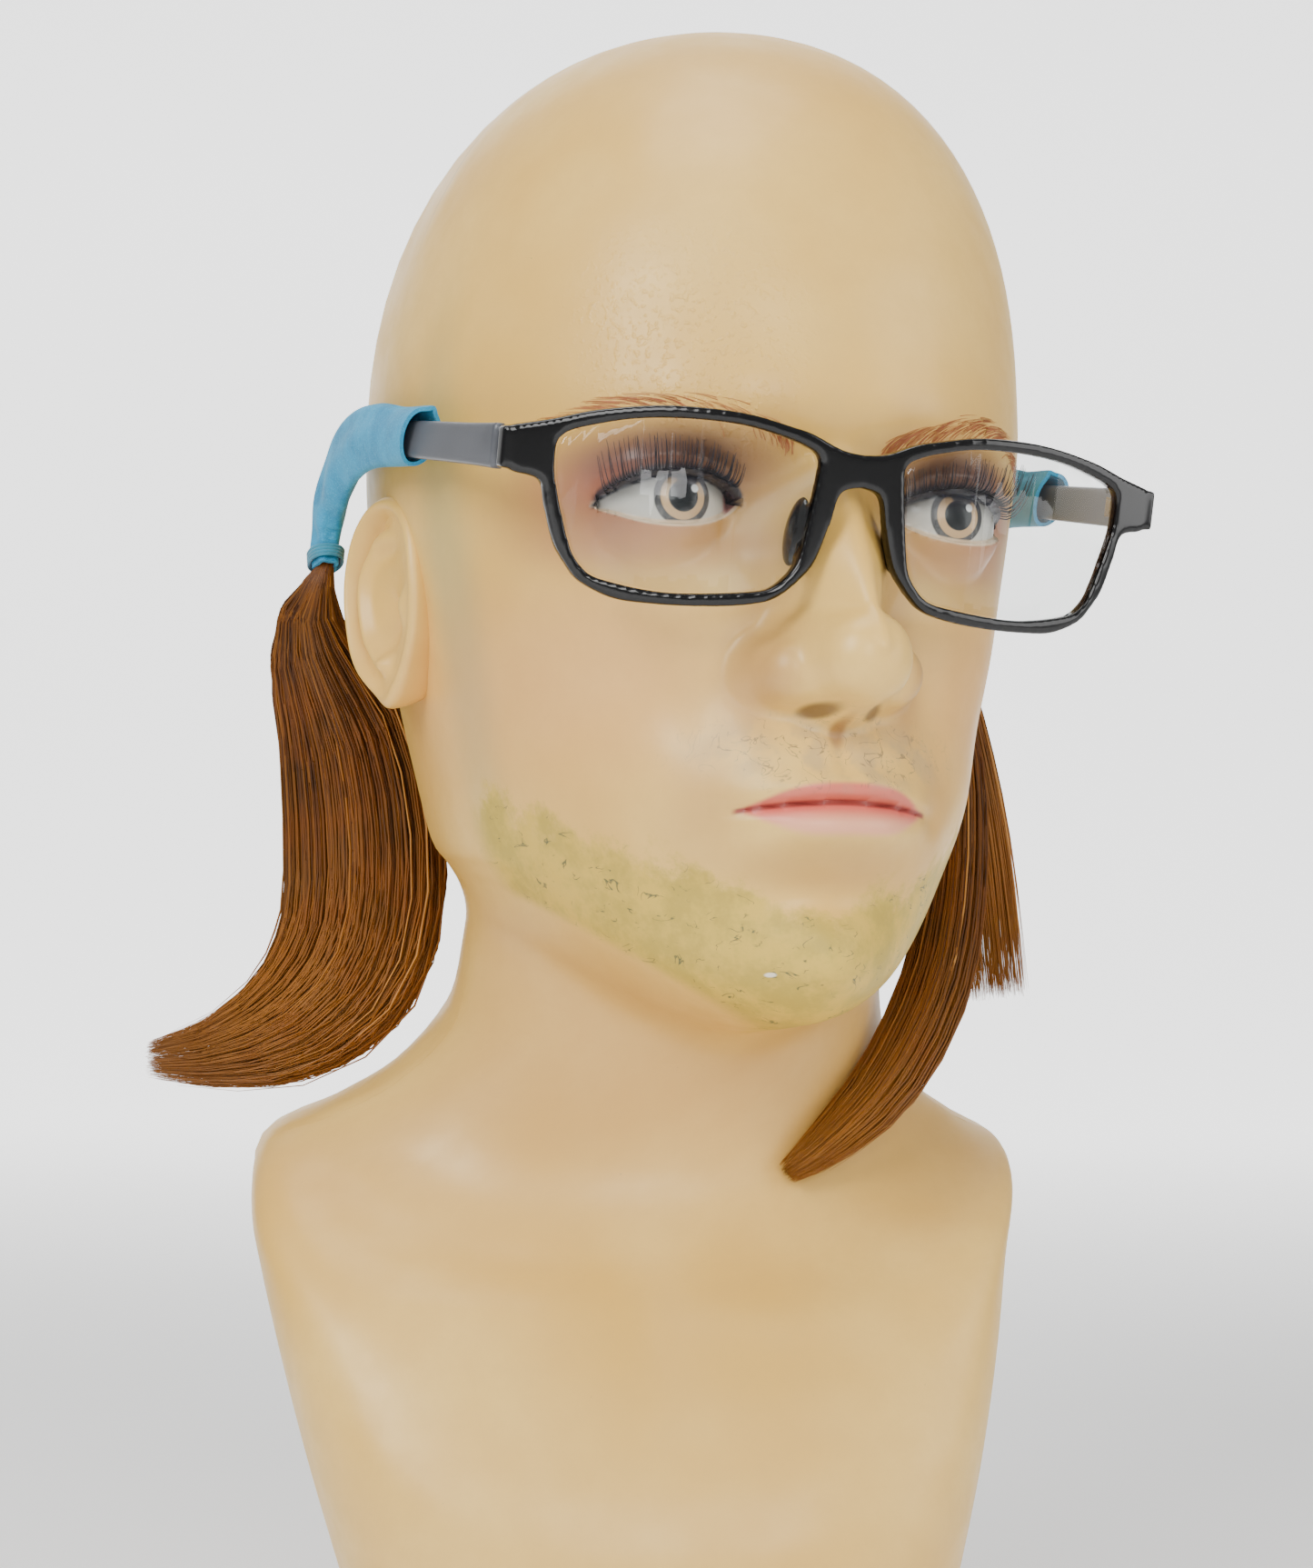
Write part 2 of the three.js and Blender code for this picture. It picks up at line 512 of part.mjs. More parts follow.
/** A strap through [x, back, height, half height, half thickness] stations, in sections of n points. */
function strap(stations, side, count, square) {
  return loft(stations.map(([x, back, z, tall, thick], i) => {
    const before = stations[Math.max(0, i - 1)];
    const after = stations[Math.min(stations.length - 1, i + 1)];
    const run = new THREE.Vector2(after[1] - before[1], after[2] - before[2]).normalize();
    return Array.from({ length: count }, (_, k) => {
      const angle = (2 * Math.PI * (k + 0.5)) / count;
      const curve = (value) => Math.sign(value) * Math.abs(value) ** (2 / square);
      const up = tall * curve(Math.sin(angle));
      return vector(side * (x + thick * curve(Math.cos(angle))), back - run.y * up, z + run.x * up);
    });
  }));
}

const frameTurn = new THREE.Euler(radians(FRAME_PITCH), radians(FRAME_ROLL), radians(HEAD_TURN), 'ZYX');
const framePlace = new THREE.Matrix4().compose(
  placed(0, HINGE_FRONT, HINGE_HEIGHT), new THREE.Quaternion().setFromEuler(frameTurn), vector(1, 1, 1));
const keepOutHere = keepOut.transform(framePlace.clone().invert().toArray());
const hingeX = HINGE.x * spectacleScale;
const templeX = hingeX + 3.5;
const armOut = (x) => x - 74.5 + templeX;
const armShift = vector(armOut(0), 0, 0).applyEuler(frameTurn); // how far a wider head moves each arm out
const tip = TEMPLE_LENGTH;
const half = TEMPLE_THICKNESS / 2;
const TEMPLE = [
  [74.5, 1.2, 0.7, 4.7], [76, 15, 0.7, 4.4], [78.5, SLEEVE_MOUTH - 1, 0.7, 4.15],
  [81.5, tip - 40, 0.6, 3.6], [82.2, tip - 26, -1.5, 3.3], [82.2, tip - 14, -6.5, 3.1],
  [81.6, tip - 5, -12.8, 2.9], [81, tip, -18.5, 2.4],
].map(([x, back, z, tall]) => [armOut(x), back, z, tall, half]);
// The sleeve's tail hangs below the arm's tip, further out and thinner, clear of the head behind it.
const SLEEVE = [
  [78.6, SLEEVE_MOUTH, 0.7, 5.9, 0], [80, 60, 0.7, 6.6, 0], [81.5, tip - 40, 0.5, 7.6, 0],
  [82.2, tip - 26, -1.9, 8.2, 0], [82.2, tip - 14, -7, 8.3, 0], [81.8, tip - 5, -13.6, 7.4, 0],
  [81.6, tip - 0.5, -20.5, 6, 0], [81.8, tip - 1, -26.5, 4.8, 0.4], [82.1, tip - 4, -32.5, 4.2, 0.8],
].map(([x, back, z, tall, slim]) => [armOut(x), back, z, tall, half + 1.1 + SLEEVE_WALL - slim]);
const tailEnd = SLEEVE.at(-1);

/** The sleeve's stations grown sideways and in height. */
const grown = (stations, by) =>
  stations.map(([x, back, z, tall, thick]) => [x, back, z, tall + by, thick + by]);

/** The same stations run on past both ends. */
function extended(stations, by) {
  const beyond = (from, to) => {
    const step = Math.hypot(to[1] - from[1], to[2] - from[2]);
    const move = (k) => to[k] + ((to[k] - from[k]) * by) / step;
    return [to[0], move(1), move(2), to[3], to[4]];
  };
  return [beyond(stations[1], stations[0]), ...stations, beyond(stations.at(-2), stations.at(-1))];
}

function clothSleeve(side) {
  const cavity = solid(strap(extended(grown(SLEEVE, -SLEEVE_WALL), 3), side, 12, 2.3));
  return skinOf(solid(strap(SLEEVE, side, 12, 2.3)).subtract(cavity).subtract(keepOutHere));
}

function hairBinding(side) {
  const place = SLEEVE.slice(-2).map(([x, back, z, , thick], i, all) => {
    const share = i === 0 ? 0.35 : 0.85;
    const mix = (k) => all[0][k] + (all[1][k] - all[0][k]) * share;
    return [x, mix(1), mix(2), SLEEVE.at(-2)[3], thick];
  });
  const ring = solid(strap(grown(place, GAP + BINDING_THICKNESS), side, 12, 2.3));
  return skinOf(ring.subtract(solid(strap(extended(grown(place, GAP), 3), side, 12, 2.3))));
}

/** Hinge knuckles between two heights, as a solid about the hinge's pin. */
const knuckle = (side, bottom, top, radius) =>
  solid(rod(radius, bottom, top, 12).translate(side * hingeX, HINGE.back, 0));
const boxAt = (side, [x0, y0, z0], [x1, y1, z1]) =>
  solid(side > 0 ? block([x0, y0, z0], [x1, y1, z1]) : block([-x1, y0, z0], [-x0, y1, z1]));
const { middle: hingeMid, third } = HINGE;
const hingeTop = hingeMid + 1.5 * third;
const hingeBottom = hingeMid - 1.5 * third;
const leafIn = hingeX - 0.8;
const leafOut = hingeX + 0.8;

function frontLeaf(side) {
  const slot = third / 2 + 0.15;
  let body = knuckle(side, hingeBottom, hingeTop, HINGE.knuckle)
    .add(boxAt(side, [leafIn, -4.4, hingeBottom], [leafOut, HINGE.back, hingeTop]));
  body = body.subtract(boxAt(side, [leafIn - 4, -1.9, hingeMid - slot], [leafOut + 4, 6, hingeMid + slot]));
  return skinOf(body.subtract(knuckle(side, hingeBottom - 2, hingeTop + 2, HINGE.hole)));
}

function templeLeaf(side) {
  const tall = third / 2 - 0.15;
  const plateOut = templeX - half - GAP;
  let body = knuckle(side, hingeMid - tall, hingeMid + tall, HINGE.knuckle)
    .add(boxAt(side, [hingeX, HINGE.back, hingeMid - tall], [plateOut, 4, hingeMid + tall]))
    .add(boxAt(side, [plateOut - 1.2, 2.4, hingeMid - 2.2], [plateOut, 9, hingeMid + 2.2]));
  return skinOf(body.subtract(knuckle(side, hingeBottom - 2, hingeTop + 2, HINGE.hole)));
}

function hingeScrew(side) {
  const headRadius = HINGE.knuckle - 0.25;
  const headBottom = hingeTop + GAP;
  const headTop = headBottom + 0.6;
  const profile = [[0, hingeBottom + 0.1], [HINGE.pin, hingeBottom + 0.1], [HINGE.pin, headBottom],
    [headRadius, headBottom], [headRadius, headTop], [0, headTop]];
  return turned(profile, 12).translate(side * hingeX, HINGE.back, 0);
}

/** The one-piece front: two rims, a bridge, nose pads and the end pieces that hold the hinges. */
function spectacleFront() {
  const left = [...mirror(UPPER_EDGE).slice(1), ...mirror(LOWER_EDGE)];
  const outline = [...UPPER_EDGE, ...left, ...LOWER_EDGE.slice(1)];
  let body = solid(bent(outline, [APERTURE, mirror(APERTURE)], 0, FRAME_DEPTH));
  const endTop = UPPER_EDGE[0][1];
  const endBottom = LOWER_EDGE.at(-1)[1];
  for (const side of [-1, 1]) {
    body = body.add(boxAt(side, [leafOut + GAP, wrap(templeX), endBottom], [templeX + half, -0.8, endTop]));
    const pad = new THREE.SphereGeometry(1, 12, 8).scale(...PAD_SIZE).rotateY(side * -0.14);
    const padBack = wrap(11) + LENS_FRONT + LENS_THICKNESS + GAP + PAD_SIZE[1];
    body = body.add(solid(pad.translate(side * 11.2 * spectacleScale, padBack, -11)));
    body = body.subtract(boxAt(side, [leafIn - GAP, -4.4 - GAP, hingeBottom - GAP],
      [leafOut + GAP, 4, hingeTop + GAP]));
  }
  return skinOf(body.subtract(keepOutHere));
}

function lens(side) {
  const middleOf = (k) => (Math.max(...APERTURE.map((p) => p[k])) + Math.min(...APERTURE.map((p) => p[k]))) / 2;
  const size = (k) => Math.max(...APERTURE.map((p) => p[k])) - Math.min(...APERTURE.map((p) => p[k]));
  const shrunk = APERTURE.map((point) =>
    point.map((value, k) => middleOf(k) + (value - middleOf(k)) * (1 - (2.6 * GAP) / size(k))));
  return bent(side > 0 ? shrunk : mirror(shrunk), [], LENS_FRONT, LENS_THICKNESS);
}

function spectacleParts() {
  const group = new THREE.Group();
  group.applyMatrix4(framePlace);
  group.add(piece('spectacle_front', spectacleFront(), GLOSS_BLACK));
  for (const [side, name] of [[-1, 'right'], [1, 'left']]) {
    group.add(piece(`lens_${name}`, lens(side), LENS));
    group.add(piece(`front_hinge_leaf_${name}`, frontLeaf(side), STEEL));
    group.add(piece(`temple_${name}`, strap(TEMPLE, side, 8, 3.2), TEMPLE_GREY));
    group.add(piece(`temple_hinge_leaf_${name}`, templeLeaf(side), STEEL));
    group.add(piece(`hinge_screw_${name}`, hingeScrew(side), STEEL));
    group.add(piece(`cloth_sleeve_${name}`, clothSleeve(side), CLOTH));
    group.add(piece(`hair_binding_${name}`, hairBinding(side), ELASTIC));
  }
  return group;
}

// ---- hair ------------------------------------------------------------------------------------------
/** Where a sleeve's tail lets its hair out, and a point a little way up inside it. */
function tailMouth(side) {
  const [x, back, z] = tailEnd;
  const [, backAbove, zAbove] = SLEEVE.at(-2);
  const inside = vector(side * x, back * 0.4 + backAbove * 0.6, z * 0.4 + zAbove * 0.6);
  return [inside, vector(side * x, back, z)].map((point) => point.applyMatrix4(framePlace));
}

/** A hank of hair from inside a sleeve's tail through [x, front, z, half width, half depth] stations. */
function hank(side, stations, starts) {
  const path = [
    ...tailMouth(side).slice(starts).map((point) => ({ point, wide: 1.3, deep: 1.3 })),
    ...stations.map(([x, front, z, wide, deep]) => (
      {
        point: vector(x + CHEST_LEAN, -front, z + EYE_HEIGHT).addScaledVector(armShift, side), wide, deep,
      })),
  ];
  const rings = path.map(({ point, wide, deep }, i) => {
    const before = path[Math.max(0, i - 1)].point;
    const after = path[Math.min(path.length - 1, i + 1)].point;
    const run = after.clone().sub(before).normalize();
    const sideways = vector(0, 1, 0).cross(run).normalize();
    const through = run.clone().cross(sideways);
    return Array.from({ length: 12 }, (_, k) => {
      const angle = (2 * Math.PI * k) / 12;
      return point.clone().addScaledVector(sideways, wide * Math.cos(angle))
        .addScaledVector(through, deep * Math.sin(angle));
    });
  });
  return solid(loft(rings)).subtract(keepOut).subtract(solid(ear(side, 2 * GAP)));
}

const HANK_RIGHT = [
  [-79, -95, -18, 8, 5.5], [-76.5, -99, -31, 13, 7], [-69, -104, -48, 18, 8], [-65, -106, -70, 20, 9],
  [-65, -107, -92, 20, 9], [-71, -109, -108, 19, 8.5], [-84, -112, -120, 15, 7.5],
  [-102, -116, -127, 8.5, 5], [-119, -118, -129, 3.5, 2.5],
];
const REAR_LOCK_LEFT = [
  [86, -135, -22, 6, 4.5], [89.5, -134, -45, 9.5, 6], [93, -130, -75, 11.5, 6], [96, -125, -112, 12.5, 5.5],
];
const FRONT_LOCK_LEFT = [
  [86, -124, -30, 5.5, 4], [87, -116, -52, 7.5, 5], [84, -102, -80, 8.5, 5.5], [76, -84, -106, 9, 5.5],
  [62, -68, -128, 8.5, 5], [46, -57, -142, 5.5, 4], [35, -52, -149, 2.2, 2],
];

// ---- the whole bust ----------------------------------------------------------------------------------
const whole = new THREE.Group();
whole.add(piece('face_shell', moulding(shell.subtract(behind(SEAM_FRONT + GAP / 2))), SKIN));
whole.add(piece('rear_shell', moulding(shell.intersect(behind(SEAM_FRONT - GAP / 2))), SKIN));
whole.add(piece('seam_tape', seamTape(), TAPE));
for (const [side, name] of [[-1, 'right'], [1, 'left']]) {
  whole.add(piece(`ear_${name}`, ear(side), SKIN));
  whole.add(piece(`eyelash_${name}`, lashes(side), LASH));
}
whole.add(piece('base_board', baseBoard(), BOARD));
whole.add(piece('clamp_socket', clampSocket(), STEEL));
flangeHoles.forEach((place, i) => {
  const geometry = screw(SOCKET_SCREW_LENGTH, WOOD_SCREW).translate(place.x, place.y, flangeBottom - GAP);
  whole.add(piece(`socket_screw_${i + 1}`, geometry, STEEL));
});
rimScrews.forEach((place, i) => whole.add(piece(`rim_screw_${i + 1}`, rimScrewGeometry(place), STEEL)));
[[-1, -1], [1, -1], [-1, 1], [1, 1]].forEach(([sideways, fore], i) =>
  whole.add(piece(`foot_${i + 1}`, foot(sideways, fore), RUBBER)));
whole.add(spectacleParts());
const rearLock = hank(1, REAR_LOCK_LEFT, 0);
const frontLock = hank(1, FRONT_LOCK_LEFT, 2).subtract(rearLock);
whole.add(piece('hair_hank_right', skinOf(hank(-1, HANK_RIGHT, 0)), HAIR));
whole.add(piece('hair_lock_left_rear', skinOf(rearLock), HAIR));
whole.add(piece('hair_lock_left_front', skinOf(frontLock), HAIR));

// The origin is the middle of the bottom of the whole part's box.
const box = new THREE.Box3().setFromObject(whole, true);
whole.position.set(-(box.min.x + box.max.x) / 2, -(box.min.y + box.max.y) / 2, -box.min.z);

export default whole;
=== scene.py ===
import logging
import math
import random
from dataclasses import dataclass, field
from enum import Enum
from typing import Callable

import bmesh
import bpy
import numpy as np
from mathutils import Matrix, Vector


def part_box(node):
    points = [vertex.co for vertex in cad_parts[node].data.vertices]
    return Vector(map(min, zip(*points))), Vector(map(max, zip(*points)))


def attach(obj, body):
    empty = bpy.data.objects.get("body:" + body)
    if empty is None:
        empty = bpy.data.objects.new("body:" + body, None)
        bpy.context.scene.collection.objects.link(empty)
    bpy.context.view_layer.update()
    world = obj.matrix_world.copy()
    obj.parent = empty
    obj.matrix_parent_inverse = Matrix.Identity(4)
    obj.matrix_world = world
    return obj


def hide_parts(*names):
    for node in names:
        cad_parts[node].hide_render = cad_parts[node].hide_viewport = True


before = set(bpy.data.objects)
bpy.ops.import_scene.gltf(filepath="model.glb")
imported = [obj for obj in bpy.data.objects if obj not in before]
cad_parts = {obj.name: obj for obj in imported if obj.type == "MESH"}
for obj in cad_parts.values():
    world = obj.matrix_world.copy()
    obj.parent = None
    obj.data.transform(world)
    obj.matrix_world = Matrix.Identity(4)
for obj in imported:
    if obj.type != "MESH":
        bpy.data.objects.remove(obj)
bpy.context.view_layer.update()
LOG = logging.getLogger("mannequin")
MM = 0.001
Array = np.ndarray
Colour = tuple[float, float, float, float]


class Side(Enum):
    """The bust's own right and left, as the sign of x."""

    RIGHT = -1
    LEFT = 1

    @property
    def word(self) -> str:
        """The side's name as the nodes use it."""
        return self.name.lower()


def colour(code: str) -> Colour:
    """Turn a hex sRGB code into a linear colour.

    Args:
        code: Six hex digits.

    Returns:
        Red, green, blue and a full alpha.
    """
    channels = [int(code[i : i + 2], 16) / 255 for i in (0, 2, 4)]
    linear = [c / 12.92 if c <= 0.04045 else ((c + 0.055) / 1.055) ** 2.4 for c in channels]
    return (*linear, 1.0)


def ease(low: float, high: float, value: Array) -> Array:
    """Smooth step from 0 at low to 1 at high."""
    t = np.clip((value - low) / (high - low), 0, 1)
    return t * t * (3 - 2 * t)


def bump(x: Array, z: Array, x0: float, z0: float, width: float, height: float, power: float = 2) -> Array:
    """Soft bump centred on (x0, z0)."""
    return np.exp(-np.abs((x - x0) / width) ** power - np.abs((z - z0) / height) ** power)


def blend_max(a: Array, b: Array, round_: float) -> Array:
    """The larger of two heights, rounded where they cross."""
    near = np.maximum(round_ - np.abs(a - b), 0) / round_
    return np.maximum(a, b) + near * near * round_ / 4


def curve_between(start: Array, end: Array, run_in: Array, run_out: Array, f: Array) -> Array:
    """A smooth curve from start to end, with the slopes that it has at both."""
    return (
        (2 * f**3 - 3 * f**2 + 1) * start + (f**3 - 2 * f**2 + f) * run_in
        + (3 * f**2 - 2 * f**3) * end + (f**3 - f**2) * run_out
    )


def rows_about(rows: Array, at: Array) -> tuple[list[Array], Array, Array]:
    """The four rows about each place from 0 to 1, the share between the middle two, and the row's number."""
    last = len(rows) - 1
    place = np.clip(at, 0, 1) * last
    i = np.minimum(place.astype(int), last - 1)
    near = [rows[np.clip(i + step, 0, last)] for step in (-1, 0, 1, 2)]
    return near, (place - i)[..., None], i


def spline(stations: Array, at: Array) -> Array:
    """Smooth values through rows of stations.

    Args:
        stations: One row per station.
        at: Places from 0 at the first row to 1 at the last.

    Returns:
        One row of values per place.
    """
    (before, start, end, after), f, _ = rows_about(stations, at)
    return curve_between(start, end, (end - before) / 2, (after - start) / 2, f)


# ---- the moulded form ------------------------------------------------------------------------


@dataclass
class Form:
    """The bust's moulded surface, in millimetres from the middle of the eyes.

    Each row of sections is one closed section: heights at its front, side and back, how far forward
    its front and back lie, its half width, where its widest point lies, and how square it is in front
    and behind. The head's own frame has x to its left, front forwards and z up.
    """

    crown: float = 124
    brow: float = 25
    turn: float = math.radians(16)
    lean: float = 12
    crown_lean: float = 6
    chest_lean: tuple[float, float] = (-8, 140)
    axis_front: float = -85
    twist: tuple[float, float] = (-168, -112)
    dome_power: float = 2.3
    foot_spread: float = 83
    eye_middle: float = 33.2
    eye_half: float = 14.8
    gaze: float = 32.5
    mouth: float = -64.4
    mouth_half: float = 22
    mouth_droop: float = 2.3
    rim_depth: float = 290
    sections: Array = field(default_factory=lambda: np.array([
        (25, 25, 25, 8, -182, 75.5, -87, 2.1, 2.1),
        (0, 0, 2, 3, -180, 73.5, -88, 2.2, 2.2),
        (-22, -22, -16, 1, -174, 69.5, -88, 2.2, 2.2),
        (-46, -42, -32, 2, -165, 66, -87, 2.1, 2.2),
        (-68, -60, -44, 5, -157, 62.5, -85, 2.0, 2.2),
        (-88, -74, -53, 3, -151, 59.5, -82, 1.75, 2.2),
        (-103, -79, -58, 1, -148, 56.5, -80, 1.65, 2.15),
        (-111, -84, -63, -6, -146, 53.5, -80, 1.65, 2.1),
        (-114, -90, -69, -24, -144, 51.5, -82, 1.8, 2.05),
        (-117, -97, -76, -42, -142, 51.5, -86, 1.9, 2.0),
        (-128, -116, -94, -49, -141, 55, -90, 2.0, 2.0),
        (-150, -130, -116, -50, -143, 66, -92, 2.0, 2.0),
        (-166, -138, -130, -42, -148, 79, -94, 2.2, 2.2),
        (-180, -146, -142, -30, -155, 91.5, -94, 2.9, 2.8),
        (-200, -166, -163, -16, -162, 88.5, -92, 3.2, 3),
        (-226, -206, -204, -4, -166, 80, -88, 3.2, 3),
        (-262, -250, -250, -6, -160, 69, -86, 3.1, 3),
        (-290, -290, -290, -16, -150, 59.5, -84, 3, 2.9),
    ], float))

    def __post_init__(self) -> None:
        """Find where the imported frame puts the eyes, from its feet and its board."""
        corners = [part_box(f"foot_{i}") for i in range(1, 5)]
        middle = sum(((low + high) / 2 for low, high in corners), Vector()) / 4
        board_low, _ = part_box("base_board")
        self.origin = np.array([
            middle.x / MM, middle.y / MM - self.foot_spread, board_low.z / MM + self.rim_depth,
        ])

    def section(self, at: Array) -> Array:
        """Sections at places from 0 at the brow to 1 at the rim, starting straight down."""
        (before, start, end, after), f, i = rows_about(self.sections, at)
        heights = np.arange(self.sections.shape[1]) < 3
        first = np.where(heights, end - start, 0)
        run_in = np.where((i == 0)[..., None], first, (end - before) / 2)
        return curve_between(start, end, run_in, (after - start) / 2, f)

    @staticmethod
    def sag(zs: Array) -> Array:
        """How a section's height falls from its front or back to its side; the jaw's is the steepest."""
        return 1.25 + 0.95 * ease(-130, -100, zs)

    def placed(self, x: Array, front: Array, z: Array) -> Array:
        """Carry points of the head's own frame to the row frame, in metres."""
        x, front, z = np.broadcast_arrays(np.asarray(x, float), front, z)
        share = ease(*self.twist, z)
        turn = self.turn * share
        offset, height = self.chest_lean
        chest = offset * np.clip((z + self.rim_depth) / height, 0, 1)
        y = self.axis_front - front
        moved = np.stack([
            x * np.cos(turn) - y * np.sin(turn) + self.lean * share + chest,
            x * np.sin(turn) + y * np.cos(turn) - self.axis_front,
            z,
        ], -1)
        return (moved + self.origin) * MM

    @staticmethod
    def ball(x: Array, z: Array, x0: float, front: float, z0: float, radius: float) -> Array:
        """A ball's forward surface, falling away steeply beyond its edge."""
        d = np.hypot(x - x0, z - z0)
        return front + np.where(d < radius, np.sqrt(np.maximum(radius**2 - d**2, 0)), -3 * (d - radius))

    @staticmethod
    def lids(side: Array) -> tuple[Array, Array]:
        """The upper and lower lid heights over the eye at a distance from the middle line."""
        dx = side - Form.eye_middle
        open_ = np.clip(1 - np.abs(dx / Form.eye_half) ** 2.1, 0, 1) ** 0.62
        return 5.6 * open_ - 0.03 * dx - 0.9, -5.4 * open_ ** 1.15 - 0.05 * dx - 0.9

    def eye(self, side: Array, z: Array, front: Array) -> Array:
        """Work the eyeball, both lids and the crease above them into the face."""
        dx, dz = side - self.gaze, z + 0.7
        upper, lower = self.lids(side)
        reach = np.hypot(dx, dz)
        cover = -15.9 + np.sqrt(np.maximum(15.7**2 - reach**2, 0))
        lidded = blend_max(front, np.where(reach < 15.7, cover, -40), 3.0)
        near = ease(19, 13, reach)
        lidded = front + (lidded - front) * near
        crease = 1.3 * np.exp(-((z - upper - 4.2) / 1.3) ** 2) * ease(16, 9, np.abs(dx))
        pouch = 0.5 * np.exp(-((z - lower + 4.5) / 1.5) ** 2) * ease(15, 8, np.abs(dx))
        lip = 0.55 * np.exp(-((z - upper - 0.6) / 0.9) ** 2) * ease(15.5, 13, np.abs(dx))
        lidded = lidded - crease - pouch + lip
        ball = -16.2 + np.sqrt(np.maximum(14.3**2 - dx**2 - (z + 0.4) ** 2, 0))
        inside = ease(-0.25, 0.5, upper - z) * ease(-0.25, 0.5, z - lower)
        inside = inside * ease(15.2, 14.4, np.abs(side - self.eye_middle))
        return lidded + (np.minimum(ball, lidded - 0.2) - lidded) * inside

    def face(self, x: Array, z: Array, plain: Array) -> Array:
        """How far forward the face lies, worked onto the plain section's own surface."""
        side = np.abs(x)
        parting = self.mouth - self.mouth_droop * (side / self.mouth_half) ** 2
        hollows = (
            6.2 * bump(side, z, 24, 0, 17, 12, 2.4)
            + 2.6 * np.exp(-((side / 22.5) ** 8) - ((z - parting) / 1.15) ** 2)
            + 3.2 * bump(side, z, 0, -83, 20, 6)
            + 1.3 * bump(side, z, 0, -52, 3.2, 7)
            + 1.2 * bump(side, z, 25.5, -67.5, 3.2, 4)
            + 1.2 * bump(side, z, 27, -50, 5, 14)
        )
        swells = (
            2.6 * bump(side, z, 22, 19, 30, 10)
            + 3 * bump(side, z, 46, -26, 17, 16)
            + 7.5 * bump(side, z, 0, -63, 33, 18, 2.6)
            + 5.5 * bump(side, z, 0, -98, 19, 11)
            + 2.0 * np.exp(-((side / 19) ** 4) - ((z - parting - 3.6) / 2.9) ** 2)
            + 3.3 * np.exp(-((side / 16) ** 4) - ((z - parting + 5.4) / 4.0) ** 2)
            + 0.6 * np.exp(-(((side - 4) / 2.4) ** 2) - ((z + 53) / 6) ** 2)
        )
        front = plain + swells - hollows
        slope = 1.35 + 1.3 * ease(-10, -32, z)
        along = np.clip((4 - z) / 38, -0.3, 1)
        ridge = 9.5 + 20.0 * along - (np.hypot(slope * side, 4) - 4)
        ridge = ridge - 3 * np.maximum(0, -33 - z) - 0.6 * np.maximum(0, z - 8)
        front = blend_max(front, ridge, 6)
        front = blend_max(front, self.ball(side, z, 0, 19.0, -34.5, 10.2), 5)
        front = blend_max(front, self.ball(side, z, 11.2, 8.0, -37.0, 7.2), 4.5)
        nostril = 3.0 * bump(side, z, 6.4, -44.6, 3.0, 1.9)
        crease = 0.9 * np.exp(-((np.hypot(side - 10.5, z + 36.5) - 9.0) / 1.1) ** 2) * ease(12, 16, side)
        return self.eye(side, z, front - nostril - crease)

    def front_at(self, x: Array, z: Array) -> Array:
        """How far forward the face lies at points seen square on.

        Args:
            x: Distances to the head's left.
            z: Heights above the eyes, from the chin to the brow.

        Returns:
            The face's distance in front of the eyes.
        """
        low, high = np.zeros_like(x), np.full_like(x, 8 / (len(self.sections) - 1))
        for _ in range(26):
            at = (low + high) / 2
            row = self.section(at)
            zf, zs, _, front_end, _, half_width, middle, square, _ = np.moveaxis(row, -1, 0)
            s = np.clip(np.abs(x) / half_width, 0, 1) ** (square / 2)
            c = np.sqrt(1 - s * s)
            above = zs + (zf - zs) * c ** self.sag(zs) > z
            low, high = np.where(above, at, low), np.where(above, high, at)
        return self.face(x, z, middle + c ** (2 / square) * (front_end - middle))

    def surface(self, heading: Array, dome: Array, at: Array) -> tuple[Array, Array]:
        """The skin at headings around it and places down it.

        Args:
            heading: Angles from the front, towards the bust's left.
            dome: Places from 0 at the crown to 1 at the brow.
            at: Places from 0 at the brow to 1 at the rim.

        Returns:
            Points in the row frame in metres, and the same in the head's own frame in millimetres.
        """
        row = self.section(at)
        (zf, zs, zb, front_end, back_end, half_width, middle,
         square_front, square_back) = np.moveaxis(row, -1, 0)
        c, s = np.cos(heading), np.sin(heading)
        rise = np.cos(dome * math.pi / 2)
        spread = (1 - rise**self.dome_power) ** (1 / self.dome_power)
        square = 2 + (np.where(c > 0, square_front, square_back) - 2) * spread
        widest = middle - 6 * rise
        reach = np.where(c > 0, front_end - middle, middle - back_end)
        x = half_width * spread * np.sign(s) * np.abs(s) ** (2 / square)
        plain = widest + np.sign(c) * np.abs(c) ** (2 / square) * reach * spread
        z = zs + (np.where(c > 0, zf, zb) - zs) * np.abs(c) ** self.sag(zs)
        z = z + (self.crown - self.brow) * rise
        facing = ease(0.05, 0.4, c) * ease(-116, -100, z) * ease(60, 40, z)
        front = plain + facing * (self.face(x, z, plain) - plain)
        collar = 1.8 * bump(np.abs(x), z, 30, -176, 24, 7) - 2.4 * bump(x, z, 0, -178, 10, 13)
        front = front + ease(0.3, 0.7, c) * collar
        own_x = x + self.crown_lean * rise**1.5
        own = np.stack([own_x, front, z], -1)
        return self.placed(own_x, front, z), own


# ---- mesh helpers ----------------------------------------------------------------------------


def show(name: str, mesh: bpy.types.Mesh) -> bpy.types.Object:
    """Link a mesh into the scene as a smooth-shaded object."""
    mesh.shade_smooth()
    made = bpy.data.objects.new(name, mesh)
    bpy.context.scene.collection.objects.link(made)
    return made


def finish_mesh(name: str, bm: bmesh.types.BMesh) -> bpy.types.Object:
    """Turn a bmesh's faces outwards and make it an object."""
    bmesh.ops.recalc_face_normals(bm, faces=bm.faces)
    mesh = bpy.data.meshes.new(name)
    bm.to_mesh(mesh)
    bm.free()
    return show(name, mesh)


